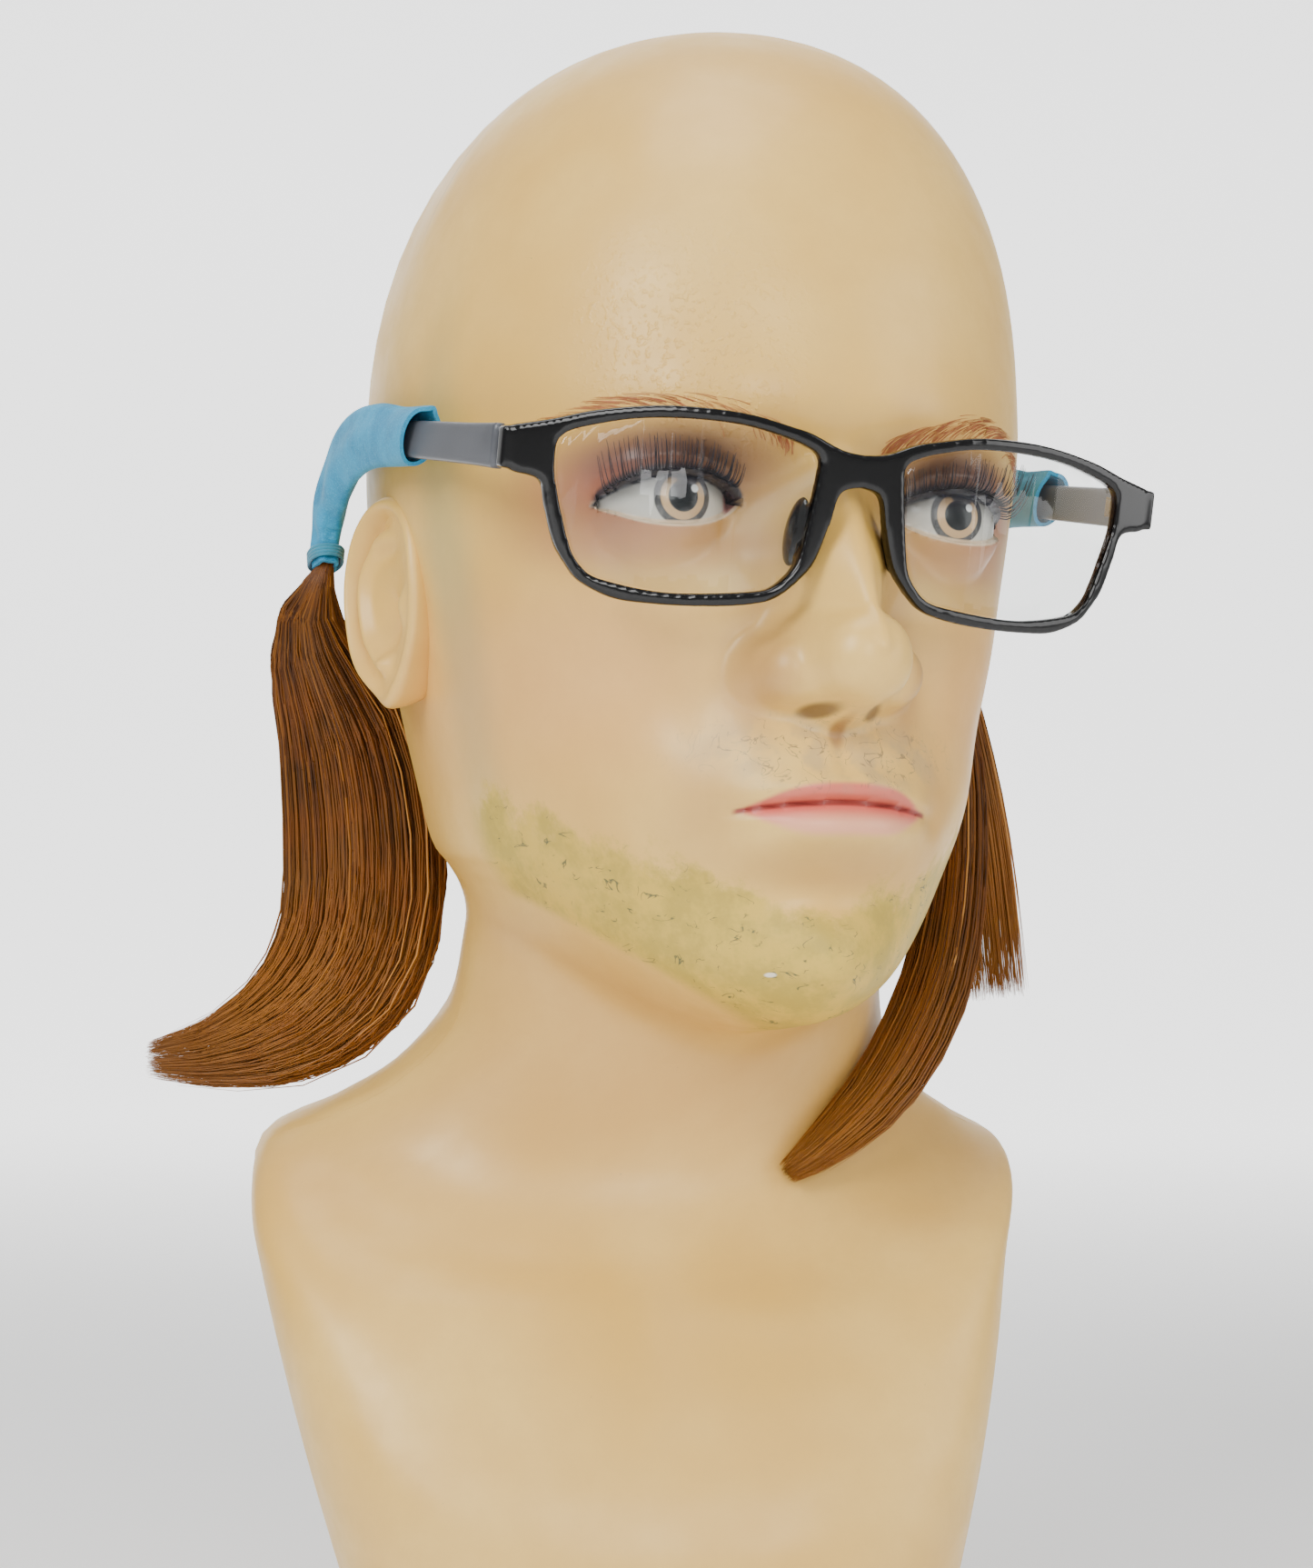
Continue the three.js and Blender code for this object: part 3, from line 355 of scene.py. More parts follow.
def mapped_grid(
    name: str, columns: int, rows: int, place: Callable[[Array, Array], tuple[Array, Array]],
    close: bool = False,
) -> bpy.types.Object:
    """Lay a grid onto a surface and join the edges that meet.

    Args:
        name: The object's name.
        columns: Faces across the grid.
        rows: Faces along the grid.
        place: Gives points in metres and a stored vector for grid places from 0 to 1.
        close: Whether to fill the openings that are left.

    Returns:
        The new object.
    """
    bm = bmesh.new()
    layer = bm.verts.layers.float_vector.new("own")
    bmesh.ops.create_grid(bm, x_segments=columns, y_segments=rows, size=0.5)
    verts = list(bm.verts)
    flat = np.array([(v.co.x + 0.5, v.co.y + 0.5) for v in verts])
    points, stored = place(flat[:, 0], flat[:, 1])
    for vert, point, own in zip(verts, points, stored):
        vert.co = point
        vert[layer] = own
    bmesh.ops.remove_doubles(bm, verts=bm.verts, dist=2e-6)
    if close:
        bmesh.ops.holes_fill(bm, edges=[e for e in bm.edges if e.is_boundary], sides=0)
    return finish_mesh(name, bm)


def bake_modifiers(made: bpy.types.Object) -> None:
    """Replace an object's mesh by its evaluated one and drop its modifiers."""
    bpy.context.view_layer.update()
    evaluated = made.evaluated_get(bpy.context.evaluated_depsgraph_get())
    mesh = bpy.data.meshes.new_from_object(evaluated)
    made.modifiers.clear()
    made.data = mesh


def thicken(made: bpy.types.Object, thickness: float) -> None:
    """Give a sheet its wall, inwards, with its mouth's edges kept sharp."""
    wall = made.modifiers.new("wall", "SOLIDIFY")
    wall.thickness = thickness
    wall.offset = -1
    bake_modifiers(made)
    made.data.set_sharp_from_angle(angle=math.radians(60))


def dress(made: bpy.types.Object, material: bpy.types.Material, body: str, slot: str, *nodes: str) -> None:
    """Give a piece its material, body and the nodes it stands for, and report it."""
    made.data.materials.clear()
    made.data.materials.append(material)
    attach(made, body)
    if nodes:
        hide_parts(*nodes)
    LOG.info("%s: %d faces on %s", made.name, len(made.data.polygons), body)


# ---- shader helpers --------------------------------------------------------------------------


class Tree:
    """Short-hand for building one node tree."""

    def __init__(self, tree: bpy.types.NodeTree) -> None:
        """Keep the tree that is built."""
        self.tree = tree

    def add(self, kind: str, **settings: object) -> bpy.types.Node:
        """Add a node and set its properties."""
        node = self.tree.nodes.new(kind)
        for name, value in settings.items():
            setattr(node, name, value)
        return node

    def feed(self, socket: bpy.types.NodeSocket, value: object) -> None:
        """Link another socket into this one, or set its value."""
        if isinstance(value, bpy.types.NodeSocket):
            self.tree.links.new(value, socket)
        elif value is not None:
            socket.default_value = value

    def math(self, operation: str, *values: object, clamp: bool = False) -> bpy.types.NodeSocket:
        """A Math node's result."""
        node = self.add("ShaderNodeMath", operation=operation, use_clamp=clamp)
        for socket, value in zip(node.inputs, values):
            self.feed(socket, value)
        return node.outputs[0]

    def plus(self, a: object, b: object) -> bpy.types.NodeSocket:
        """a + b."""
        return self.math("ADD", a, b)

    def less(self, a: object, b: object) -> bpy.types.NodeSocket:
        """a - b."""
        return self.math("SUBTRACT", a, b)

    def times(self, *values: object) -> bpy.types.NodeSocket:
        """Every value multiplied together."""
        result = values[0]
        for value in values[1:]:
            result = self.math("MULTIPLY", result, value)
        return result

    def size(self, value: object) -> bpy.types.NodeSocket:
        """A value without its sign."""
        return self.math("ABSOLUTE", value)

    def ramp(self, value: object, low: object, high: object, out_low: float = 0,
             out_high: float = 1) -> bpy.types.NodeSocket:
        """A value smoothly carried from one range to another."""
        node = self.add("ShaderNodeMapRange", interpolation_type="SMOOTHSTEP")
        for socket, given in zip(node.inputs, (value, low, high, out_low, out_high)):
            self.feed(socket, given)
        return node.outputs[0]

    def mix(self, factor: object, a: object, b: object) -> bpy.types.NodeSocket:
        """Two colours mixed."""
        node = self.add("ShaderNodeMix", data_type="RGBA")
        self.feed(node.inputs[0], factor)
        self.feed(node.inputs[6], a)
        self.feed(node.inputs[7], b)
        return node.outputs[2]

    def noise(self, vector: object, scale: object, detail: float = 2, roughness: float = 0.5,
              distortion: float = 0) -> bpy.types.NodeSocket:
        """A noise value about one half."""
        node = self.add("ShaderNodeTexNoise")
        values = {"Vector": vector, "Scale": scale, "Detail": detail, "Roughness": roughness,
                  "Distortion": distortion}
        for name, value in values.items():
            self.feed(node.inputs[name], value)
        return node.outputs[0]

    def stretched(self, vector: object, scale: tuple[float, float, float],
                  turn: tuple[float, float, float] = (0, 0, 0)) -> bpy.types.NodeSocket:
        """A vector turned and stretched."""
        node = self.add("ShaderNodeMapping")
        self.feed(node.inputs["Vector"], vector)
        node.inputs["Scale"].default_value = scale
        node.inputs["Rotation"].default_value = turn
        return node.outputs[0]

    def parts(self, vector: object) -> tuple[bpy.types.NodeSocket, ...]:
        """A vector's three numbers."""
        node = self.add("ShaderNodeSeparateXYZ")
        self.feed(node.inputs[0], vector)
        return tuple(node.outputs)

    def stored(self, name: str) -> bpy.types.NodeSocket:
        """The piece's own stored vector."""
        return self.add("ShaderNodeAttribute", attribute_name=name).outputs["Vector"]

    def place(self) -> bpy.types.NodeSocket:
        """Object coordinates in metres."""
        return self.add("ShaderNodeTexCoord").outputs["Object"]

    def group(self, group: bpy.types.NodeTree, *values: object) -> bpy.types.Node:
        """A shared effect with its inputs fed in order."""
        node = self.add("ShaderNodeGroup", node_tree=group)
        for socket, value in zip(node.inputs, values):
            self.feed(socket, value)
        return node

    def bumped(self, height: object, distance: float, strength: float = 1.0,
               normal: object = None) -> bpy.types.NodeSocket:
        """A normal from a height."""
        node = self.add("ShaderNodeBump")
        node.inputs["Strength"].default_value = strength
        node.inputs["Distance"].default_value = distance
        self.feed(node.inputs["Height"], height)
        self.feed(node.inputs["Normal"], normal)
        return node.outputs[0]


def new_group(name: str, inputs: dict[str, float | None], outputs: list[str]) -> tuple[Tree, dict, dict]:
    """Start a shared effect.

    Args:
        name: The group's name.
        inputs: Input names and defaults; None makes a vector.
        outputs: Names of the value outputs.

    Returns:
        The tree, its input sockets and its output sockets by name.
    """
    made = bpy.data.node_groups.new(name, "ShaderNodeTree")
    for label, default in inputs.items():
        kind = "NodeSocketVector" if default is None else "NodeSocketFloat"
        socket = made.interface.new_socket(name=label, in_out="INPUT", socket_type=kind)
        if default is not None:
            socket.default_value = default
    for label in outputs:
        made.interface.new_socket(name=label, in_out="OUTPUT", socket_type="NodeSocketFloat")
    tree = Tree(made)
    entry, leave = tree.add("NodeGroupInput"), tree.add("NodeGroupOutput")
    return tree, {s.name: s for s in entry.outputs}, {s.name: s for s in leave.inputs}


class Effects:
    """The shader effects that several finishes share."""

    def __init__(self) -> None:
        """Build every group once."""
        self.ellipse = self._ellipse()
        self.speckle = self._speckle()
        self.scratches = self._scratches()
        self.grain = self._grain()

    @staticmethod
    def _ellipse() -> bpy.types.NodeTree:
        """A soft ellipse: 1 inside, 0 outside."""
        tree, given, out = new_group("Soft ellipse", {
            "X": 0, "Z": 0, "Middle X": 0, "Middle Z": 0, "Half width": 1, "Half height": 1, "Softness": 0.3,
        }, ["Mask"])
        x = tree.math("DIVIDE", tree.less(given["X"], given["Middle X"]), given["Half width"])
        z = tree.math("DIVIDE", tree.less(given["Z"], given["Middle Z"]), given["Half height"])
        away = tree.math("SQRT", tree.plus(tree.times(x, x), tree.times(z, z)))
        low, high = tree.less(1, given["Softness"]), tree.plus(1, given["Softness"])
        tree.feed(out["Mask"], tree.ramp(away, low, high, 1, 0))
        return tree.tree

    @staticmethod
    def _speckle() -> bpy.types.NodeTree:
        """Scattered fine specks."""
        tree, given, out = new_group("Specks", {"Vector": None, "Scale": 400, "Amount": 0.3}, ["Mask"])
        low = tree.less(0.78, tree.times(given["Amount"], 0.2))
        specks = tree.noise(given["Vector"], given["Scale"], 3)
        tree.feed(out["Mask"], tree.ramp(specks, low, tree.plus(low, 0.05)))
        return tree.tree

    @staticmethod
    def _scratches() -> bpy.types.NodeTree:
        """Hair-fine wandering scratches: thin level lines of a warped noise, broken by another."""
        tree, given, out = new_group(
            "Fine scratches", {"Vector": None, "Scale": 90, "Width": 0.012, "Amount": 0.5}, ["Mask"])
        lines = tree.noise(given["Vector"], given["Scale"], 2.5, distortion=1.2)
        line = tree.ramp(tree.size(tree.less(lines, 0.5)), 0, given["Width"], 1, 0)
        gaps = tree.noise(given["Vector"], tree.times(given["Scale"], 1.7))
        cut = tree.less(0.75, tree.times(given["Amount"], 0.4))
        tree.feed(out["Mask"], tree.times(line, tree.ramp(gaps, cut, tree.plus(cut, 0.06))))
        return tree.tree

    @staticmethod
    def _grain() -> bpy.types.NodeTree:
        """A surface height of two noise sizes."""
        tree, given, out = new_group(
            "Surface grain", {"Vector": None, "Coarse": 60, "Fine": 900, "Fine share": 0.3}, ["Height"])
        coarse, fine = (tree.noise(given["Vector"], given[label]) for label in ("Coarse", "Fine"))
        tree.feed(out["Height"], tree.plus(coarse, tree.times(fine, given["Fine share"])))
        return tree.tree


def new_material(name: str) -> tuple[bpy.types.Material, Tree, bpy.types.Node]:
    """An empty material, its tree and its Principled shader."""
    material = bpy.data.materials.new(name)
    material.use_nodes = True
    tree = Tree(material.node_tree)
    return material, tree, material.node_tree.nodes["Principled BSDF"]


@dataclass(frozen=True)
class PlainFinish:
    """A hard or soft finish with grain, colour drift and uneven gloss."""

    name: str
    base: str
    other: str
    roughness: float
    metallic: float = 0.0
    drift_scale: float = 80
    grain: tuple[float, float, float] = (300, 2500, 0.5)
    depth: float = 0.00003
    stretch: tuple[float, float, float] = (1, 1, 1)
    sheen: float = 0.0

    def build(self, effects: Effects) -> bpy.types.Material:
        """Make the material."""
        material, tree, shader = new_material(self.name)
        place = tree.stretched(tree.place(), self.stretch)
        drift = tree.ramp(tree.noise(place, self.drift_scale, 4, 0.6), 0.35, 0.65)
        tree.feed(shader.inputs["Base Color"], tree.mix(drift, colour(self.base), colour(self.other)))
        uneven = tree.ramp(drift, 0, 1, self.roughness * 0.85, self.roughness * 1.15)
        tree.feed(shader.inputs["Roughness"], uneven)
        shader.inputs["Metallic"].default_value = self.metallic
        shader.inputs["Sheen Weight"].default_value = self.sheen
        height = tree.group(effects.grain, place, *self.grain).outputs[0]
        tree.feed(shader.inputs["Normal"], tree.bumped(height, self.depth))
        return material


@dataclass(frozen=True)
class Spray:
    """A soft patch on both sides of the face, used for sprayed make-up and for painted shade: middle x and z,
    half width and height, softness.
    """

    ellipse: tuple[float, float, float, float, float]
    tone: str
    strength: float


class SkinFinish:
    """The worn, hand-painted finish of the moulded bust, with painted shade by the nose, the mouth and the
    upper lids and under the jaw, all painted in the head's own millimetres.
    """

    SPRAYED_AND_SHADE = (
        Spray((46, -38, 22, 22, 0.8), "D98F62", 0.32),  # cheek
        Spray((34, 5.5, 21, 10, 0.55), "7A463E", 0.78),  # eye shadow
        Spray((46, -1, 13, 10, 0.8), "9A4C48", 0.6),  # outer corner of the eye
        Spray((33, -9.5, 19, 5.5, 0.7), "B57566", 0.42),  # under the eye
        Spray((34, 7.5, 15, 5.5, 0.6), "2E1D26", 0.62),  # crease of the lid
        Spray((6.4, -45.3, 3.0, 1.6, 0.4), "4A2A1A", 0.8),  # painted shade in the nostril
        Spray((15.5, -14, 5.5, 26, 0.9), "8E5C34", 0.4),  # painted shade down the side of the nose
        Spray((19, -40, 4.5, 9, 0.8), "9A6840", 0.42),  # painted shade in the fold beside the nostril
        Spray((0, -78, 20, 5, 0.8), "A5713F", 0.35),  # painted shade under the lower lip
        Spray((27, -66, 6, 9, 0.8), "A5713F", 0.35),  # painted shade at the corner of the mouth
    )

    def __init__(self, effects: Effects) -> None:
        """Build the material."""
        self.effects = effects
        self.material, self.tree, self.shader = new_material("painted_moulding")
        tree = self.tree
        own = tree.stored("own")
        self.place = tree.stretched(own, (MM, MM, MM))
        self.x, self.front, self.z = tree.parts(own)
        self.side = tree.size(self.x)
        self.colour = self._base()
        self._band_and_blush()
        self._lips()
        self._wear()
        self._eyes()
        tree.feed(self.shader.inputs["Base Color"], self.colour)
        self._surface()

    def layer(self, mask: object, code: str, strength: float = 1.0) -> None:
        """Paint one colour over what is there."""
        share = self.tree.times(mask, strength) if strength != 1 else mask
        self.colour = self.tree.mix(share, self.colour, colour(code))

    def spot(self, x: object, middle_x: float, middle_z: float, wide: float, tall: float,
             soft: float) -> bpy.types.NodeSocket:
        """A soft ellipse in the face's own plane, on the front half only."""
        inside = self.tree.group(self.effects.ellipse, x, self.z, middle_x, middle_z, wide, tall, soft)
        return self.tree.times(inside.outputs[0], self.tree.ramp(self.front, -105, -90))

    def _base(self) -> bpy.types.NodeSocket:
        """Sprayed skin tone that drifts a little."""
        tree = self.tree
        broad = tree.ramp(tree.noise(self.place, 14, 3), 0.35, 0.65)
        fine = tree.ramp(tree.noise(self.place, 120, 4, 0.7), 0.3, 0.7)
        tone = tree.mix(broad, colour("D9AC52"), colour("E3BB66"))
        return tree.mix(self.tree.times(fine, 0.25), tone, colour("CDA250"))

    def _band_and_blush(self) -> None:
        """A greenish-grey band sprayed before the ears, blush and eye shadow round the eyes, and painted
        shade by the nose, the nostrils and the mouth.
        """
        tree = self.tree
        band = self.spot(self.front, -56, -20, 9, 52, 0.7)
        self.layer(tree.times(band, tree.ramp(self.side, 40, 60)), "A29A68", 0.5)
        # Sprayed make-up, and painted shade in the creases of the nose and mouth.
        for soft_patch in self.SPRAYED_AND_SHADE:
            self.layer(self.spot(self.side, *soft_patch.ellipse), soft_patch.tone, soft_patch.strength)

    def _lips(self) -> None:
        """Thin painted lips with a dark parting."""
        tree = self.tree
        corner = tree.math("POWER", tree.math("DIVIDE", self.side, Form.mouth_half), 2)
        parting = tree.less(Form.mouth, tree.times(corner, Form.mouth_droop))
        above = tree.less(self.z, parting)
        width = tree.ramp(corner, 1.12, 0.0, 0.0, 1.0)
        upper_edge = tree.times(width, 4.3)
        lower_edge = tree.times(width, -7.2)
        upper = tree.times(tree.ramp(tree.less(above, upper_edge), 0.6, -0.8), tree.ramp(above, -0.4, 0.2))
        lower = tree.times(tree.ramp(tree.less(above, lower_edge), -0.6, 1.6), tree.ramp(above, 0.2, -0.4))
        inside = tree.times(tree.ramp(corner, 1.08, 0.94), tree.ramp(self.front, -60, -50))
        self.layer(tree.times(lower, inside), "E39A80", 0.85)
        self.layer(tree.times(lower, inside, tree.ramp(above, -4.5, -0.5)), "D4564E", 0.85)
        self.layer(tree.times(upper, inside), "CC5A52", 0.9)
        line = tree.ramp(tree.size(above), 0.95, 0.2)
        self.layer(tree.times(line, inside), "7E2A2A", 0.85)

    def _wear(self) -> None:
        """Rubbed and stained paint along the jaw, painted shade under the jaw, scuffs, scratches and specks.
        """
        tree = self.tree
        edge = tree.plus(-90, tree.times(self.side, 0.46))
        rough = tree.times(tree.less(tree.noise(self.place, 60, 6, 0.7), 0.5), 34)
        below = tree.less(tree.plus(edge, rough), self.z)
        jaw = tree.math("MULTIPLY_ADD", tree.math("POWER", self.side, 1.3), 0.186, -114)
        above_jaw = tree.less(self.z, jaw)
        forward = tree.times(tree.ramp(self.front, -66, -56), tree.ramp(above_jaw, -2.5, 0))
        self.stain = tree.times(tree.ramp(below, -2, 5), forward)
        patchy = tree.ramp(tree.noise(self.place, 90, 4, 0.7), 0.35, 0.6)
        # Painted shade under the jaw: the front of the neck is darkened beneath the jaw line.
        under = tree.times(tree.ramp(above_jaw, 2, -9), tree.ramp(self.z, -175, -125),
                           tree.ramp(self.front, -95, -70))
        self.layer(under, "B07E45", 0.42)
        self.layer(self.stain, "C8A93C", 0.8)
        self.layer(tree.times(self.stain, patchy), "9C8A34", 0.55)
        streaks = tree.stretched(self.place, (1, 1, 2.2), (0, 0.5, 0))
        dark = tree.group(self.effects.scratches, streaks, 110, 0.02, 0.5).outputs[0]
        self.layer(tree.times(self.stain, dark), "3C4A38", 0.9)
        scuff = self.spot(self.side, 0, -54, 27, 7.5, 0.5)
        grit = tree.group(self.effects.scratches, self.place, 170, 0.02, 0.75).outputs[0]
        self.layer(tree.times(scuff, tree.ramp(tree.noise(self.place, 130, 4), 0.42, 0.62)), "A38C6C", 0.5)
        self.layer(tree.times(scuff, grit), "5E5344", 0.75)
        self.layer(self.spot(self.x, -0.6, -49.5, 1.8, 3.2, 0.5), "8A5A30", 0.7)
        self.layer(tree.group(self.effects.speckle, self.place, 700, 0.1).outputs[0], "8E7350", 0.5)
        crown = tree.ramp(self.z, 55, 85)
        worn = tree.times(crown, tree.ramp(tree.size(tree.plus(self.front, 88)), 14, 5))
        self.layer(worn, "EBCFA0", 0.5)
        wander = tree.plus(80, tree.times(tree.noise(self.place, 30), 6))
        hairline = tree.ramp(tree.size(tree.plus(self.front, wander)), 0.5, 0.1)
        self.layer(tree.times(crown, hairline), "8F7A58", 0.5)
        self.layer(self.spot(self.x, -12, -101, 1.0, 0.5, 0.3), "F4EFE2", 0.7)

    def _eyes(self) -> None:
        """Painted eyes inside the sculpted lids."""
        tree = self.tree
        dx = tree.less(self.side, Form.eye_middle)
        share = tree.math("POWER", tree.math("DIVIDE", tree.size(dx), Form.eye_half), 2.1)
        open_ = tree.math("POWER", tree.math("SUBTRACT", 1, share, clamp=True), 0.62)
        upper = tree.less(tree.times(open_, 5.6), tree.plus(tree.times(dx, 0.03), 0.9))
        lower = tree.times(tree.math("POWER", open_, 1.15), -5.4)
        lower = tree.less(lower, tree.plus(tree.times(dx, 0.05), 0.9))
        over, under = tree.less(self.z, upper), tree.less(self.z, lower)
        near = tree.times(tree.ramp(tree.size(dx), 15.6, 14.6), tree.ramp(self.front, -45, -40))
        liner = tree.times(tree.ramp(over, 3.0, 1.2), tree.ramp(over, -1.5, -0.6), near)
        white = tree.times(tree.ramp(over, 0.1, -0.3), tree.ramp(under, -0.2, 0.2), near)
        self.layer(white, "C9C6BE")
        self.layer(tree.times(white, tree.ramp(under, 3.4, 0.4)), "DAD3C6", 0.6)
        sign = tree.math("SIGN", self.x)
        lx = tree.less(self.x, tree.times(sign, Form.gaze))
        lz = tree.less(self.z, -0.2)
        r = tree.math("SQRT", tree.plus(tree.times(lx, lx), tree.times(lz, lz)))
        iris = tree.times(white, tree.ramp(r, 6.5, 6.1))
        self.layer(iris, "4B4A4C")
        fibres = tree.noise(self.place, 900, 3)
        self.layer(tree.times(iris, tree.ramp(fibres, 0.5, 0.7)), "6D6A66", 0.5)
        angle = tree.math("ARCTAN2", lz, lx)
        gap = tree.ramp(tree.size(tree.less(angle, 1.35)), 0.5, 0.75)
        ring = tree.times(iris, tree.ramp(r, 5.1, 4.8), tree.ramp(r, 3.2, 3.5), gap)
        self.layer(ring, "C9A578")
        self.layer(tree.times(white, tree.ramp(r, 3.4, 3.1)), "14181B")
        glint = tree.group(self.effects.ellipse, lx, lz, 2.6, 1.8, 0.85, 0.85, 0.2).outputs[0]
        self.layer(tree.times(white, glint), "F8F8F6")
        rim = tree.times(tree.ramp(under, 1.2, 0.7), tree.ramp(under, -0.7, -0.2), near)
        self.layer(rim, "E3C8A6", 0.9)
        inner = tree.times(white, tree.ramp(self.side, 22.3, 20.3))
        self.layer(inner, "CF8C86", 0.9)
        # Painted shade cast by the upper lid over the top of the eye.
        self.layer(tree.times(white, tree.ramp(over, -5.0, -1.0)), "2A2630", 0.6)
        self.layer(liner, "1B1C28", 0.95)
        self.glassy = white

    def _surface(self) -> None:
        """Semi-gloss paint, duller where it is rubbed, with a sparkling run over the near brow."""
        tree, shader = self.tree, self.shader
        uneven = tree.ramp(tree.noise(self.place, 60, 4, 0.6), 0.3, 0.7, 0.36, 0.48)
        rough = tree.plus(uneven, tree.times(self.stain, 0.14))
        rough = tree.less(rough, tree.times(self.glassy, 0.2))
        tree.feed(shader.inputs["Roughness"], rough)
        shader.inputs["Specular IOR Level"].default_value = 0.5
        shader.inputs["Coat Weight"].default_value = 0.06
        shader.inputs["Coat Roughness"].default_value = 0.16
        peel = tree.group(self.effects.grain, self.place, 90, 700, 0.35).outputs[0]
        base = tree.bumped(peel, 0.00012, 0.6)
        crumbs = tree.ramp(tree.noise(self.place, 700, 2), 0.5, 0.75)
        crumbs = tree.times(self.spot(self.x, -30, 34, 16, 20, 0.9), crumbs)
        damage = tree.plus(tree.times(crumbs, 1.4),
                           tree.times(self.stain, tree.noise(self.place, 260, 5, 0.7)))
        tree.feed(shader.inputs["Normal"], tree.bumped(damage, 0.0002, 0.8, base))


class Moulding:
    """Both moulded shells, with the head's features worked into the front one."""

    FACE_COLUMNS, FACE_ROWS = 186, 236
    REAR_COLUMNS, REAR_ROWS = 90, 130
    SEAM_FRONT, HALF_GAP = -88.0, 0.03
    WALL = 3.2 * MM

    def __init__(self, form: Form, skin: bpy.types.Material) -> None:
        """Build and dress the two shells.

        Args:
            form: The moulded surface.
            skin: The painted finish.
        """
        self.form = form
        face = mapped_grid("bust_face", self.FACE_COLUMNS, self.FACE_ROWS, self._face_place)
        rear = mapped_grid("bust_rear", self.REAR_COLUMNS, self.REAR_ROWS, self._rear_place)
        for shell, node in ((face, "face_shell"), (rear, "rear_shell")):
            thicken(shell, self.WALL)
            dress(shell, skin, "bust", "moulded_skin", node)

    def _seam(self, dome: Array, at: Array, front: float) -> Array:
        """The heading at which the surface crosses the seam."""
        row = self.form.section(at)
        _, _, _, front_end, back_end, _, middle, square_front, square_back = np.moveaxis(row, -1, 0)
        rise = np.cos(dome * math.pi / 2)
        spread = (1 - rise**self.form.dome_power) ** (1 / self.form.dome_power)
        gap = front - (middle - 6 * rise)
        ahead = gap > 0
        square = 2 + (np.where(ahead, square_front, square_back) - 2) * spread
        reach = np.where(ahead, front_end - middle, middle - back_end) * spread
        share = np.clip(np.abs(gap) / np.maximum(reach, 1e-6), 0, 1) ** (square / 2)
        return np.arccos(np.where(ahead, share, -share))

    @staticmethod
    def _down(v: Array, start: float) -> tuple[Array, Array]:
        """Rows over the dome and down the sections, closest together over the eyes and the mouth."""
        dome = np.interp(v, (0, 0.12), (start, 1))
        stations = np.array((0, 0.6, 1.6, 3.6, 5, 9, 17))
        at = np.interp(v, (0.12, 0.16, 0.31, 0.52, 0.64, 0.74, 1), stations / 17)
        return dome, at

    def _face_place(self, u: Array, v: Array) -> tuple[Array, Array]:
        """The front shell."""
        dome, at = self._down(1 - v, self._dome_start())
        limit = self._seam(dome, at, self.SEAM_FRONT + self.HALF_GAP)
        t = 2 * u - 1
        return self.form.surface(limit * (0.58 * t + 0.42 * t**3), dome, at)

    def _dome_start(self) -> float:
        """The dome place where the seam crosses the middle line."""
        places = np.linspace(0, 1, 4001)
        headings = self._seam(places, np.zeros_like(places), self.SEAM_FRONT + self.HALF_GAP)
        return float(places[np.argmax(headings > 0)])

    def _rear_place(self, u: Array, v: Array) -> tuple[Array, Array]:
        """The back shell, which holds the crown."""
        dome, at = self._down(1 - v, 0.0)
        limit = self._seam(dome, at, self.SEAM_FRONT - self.HALF_GAP)
        return self.form.surface(limit + (2 * math.pi - 2 * limit) * u, dome, at)


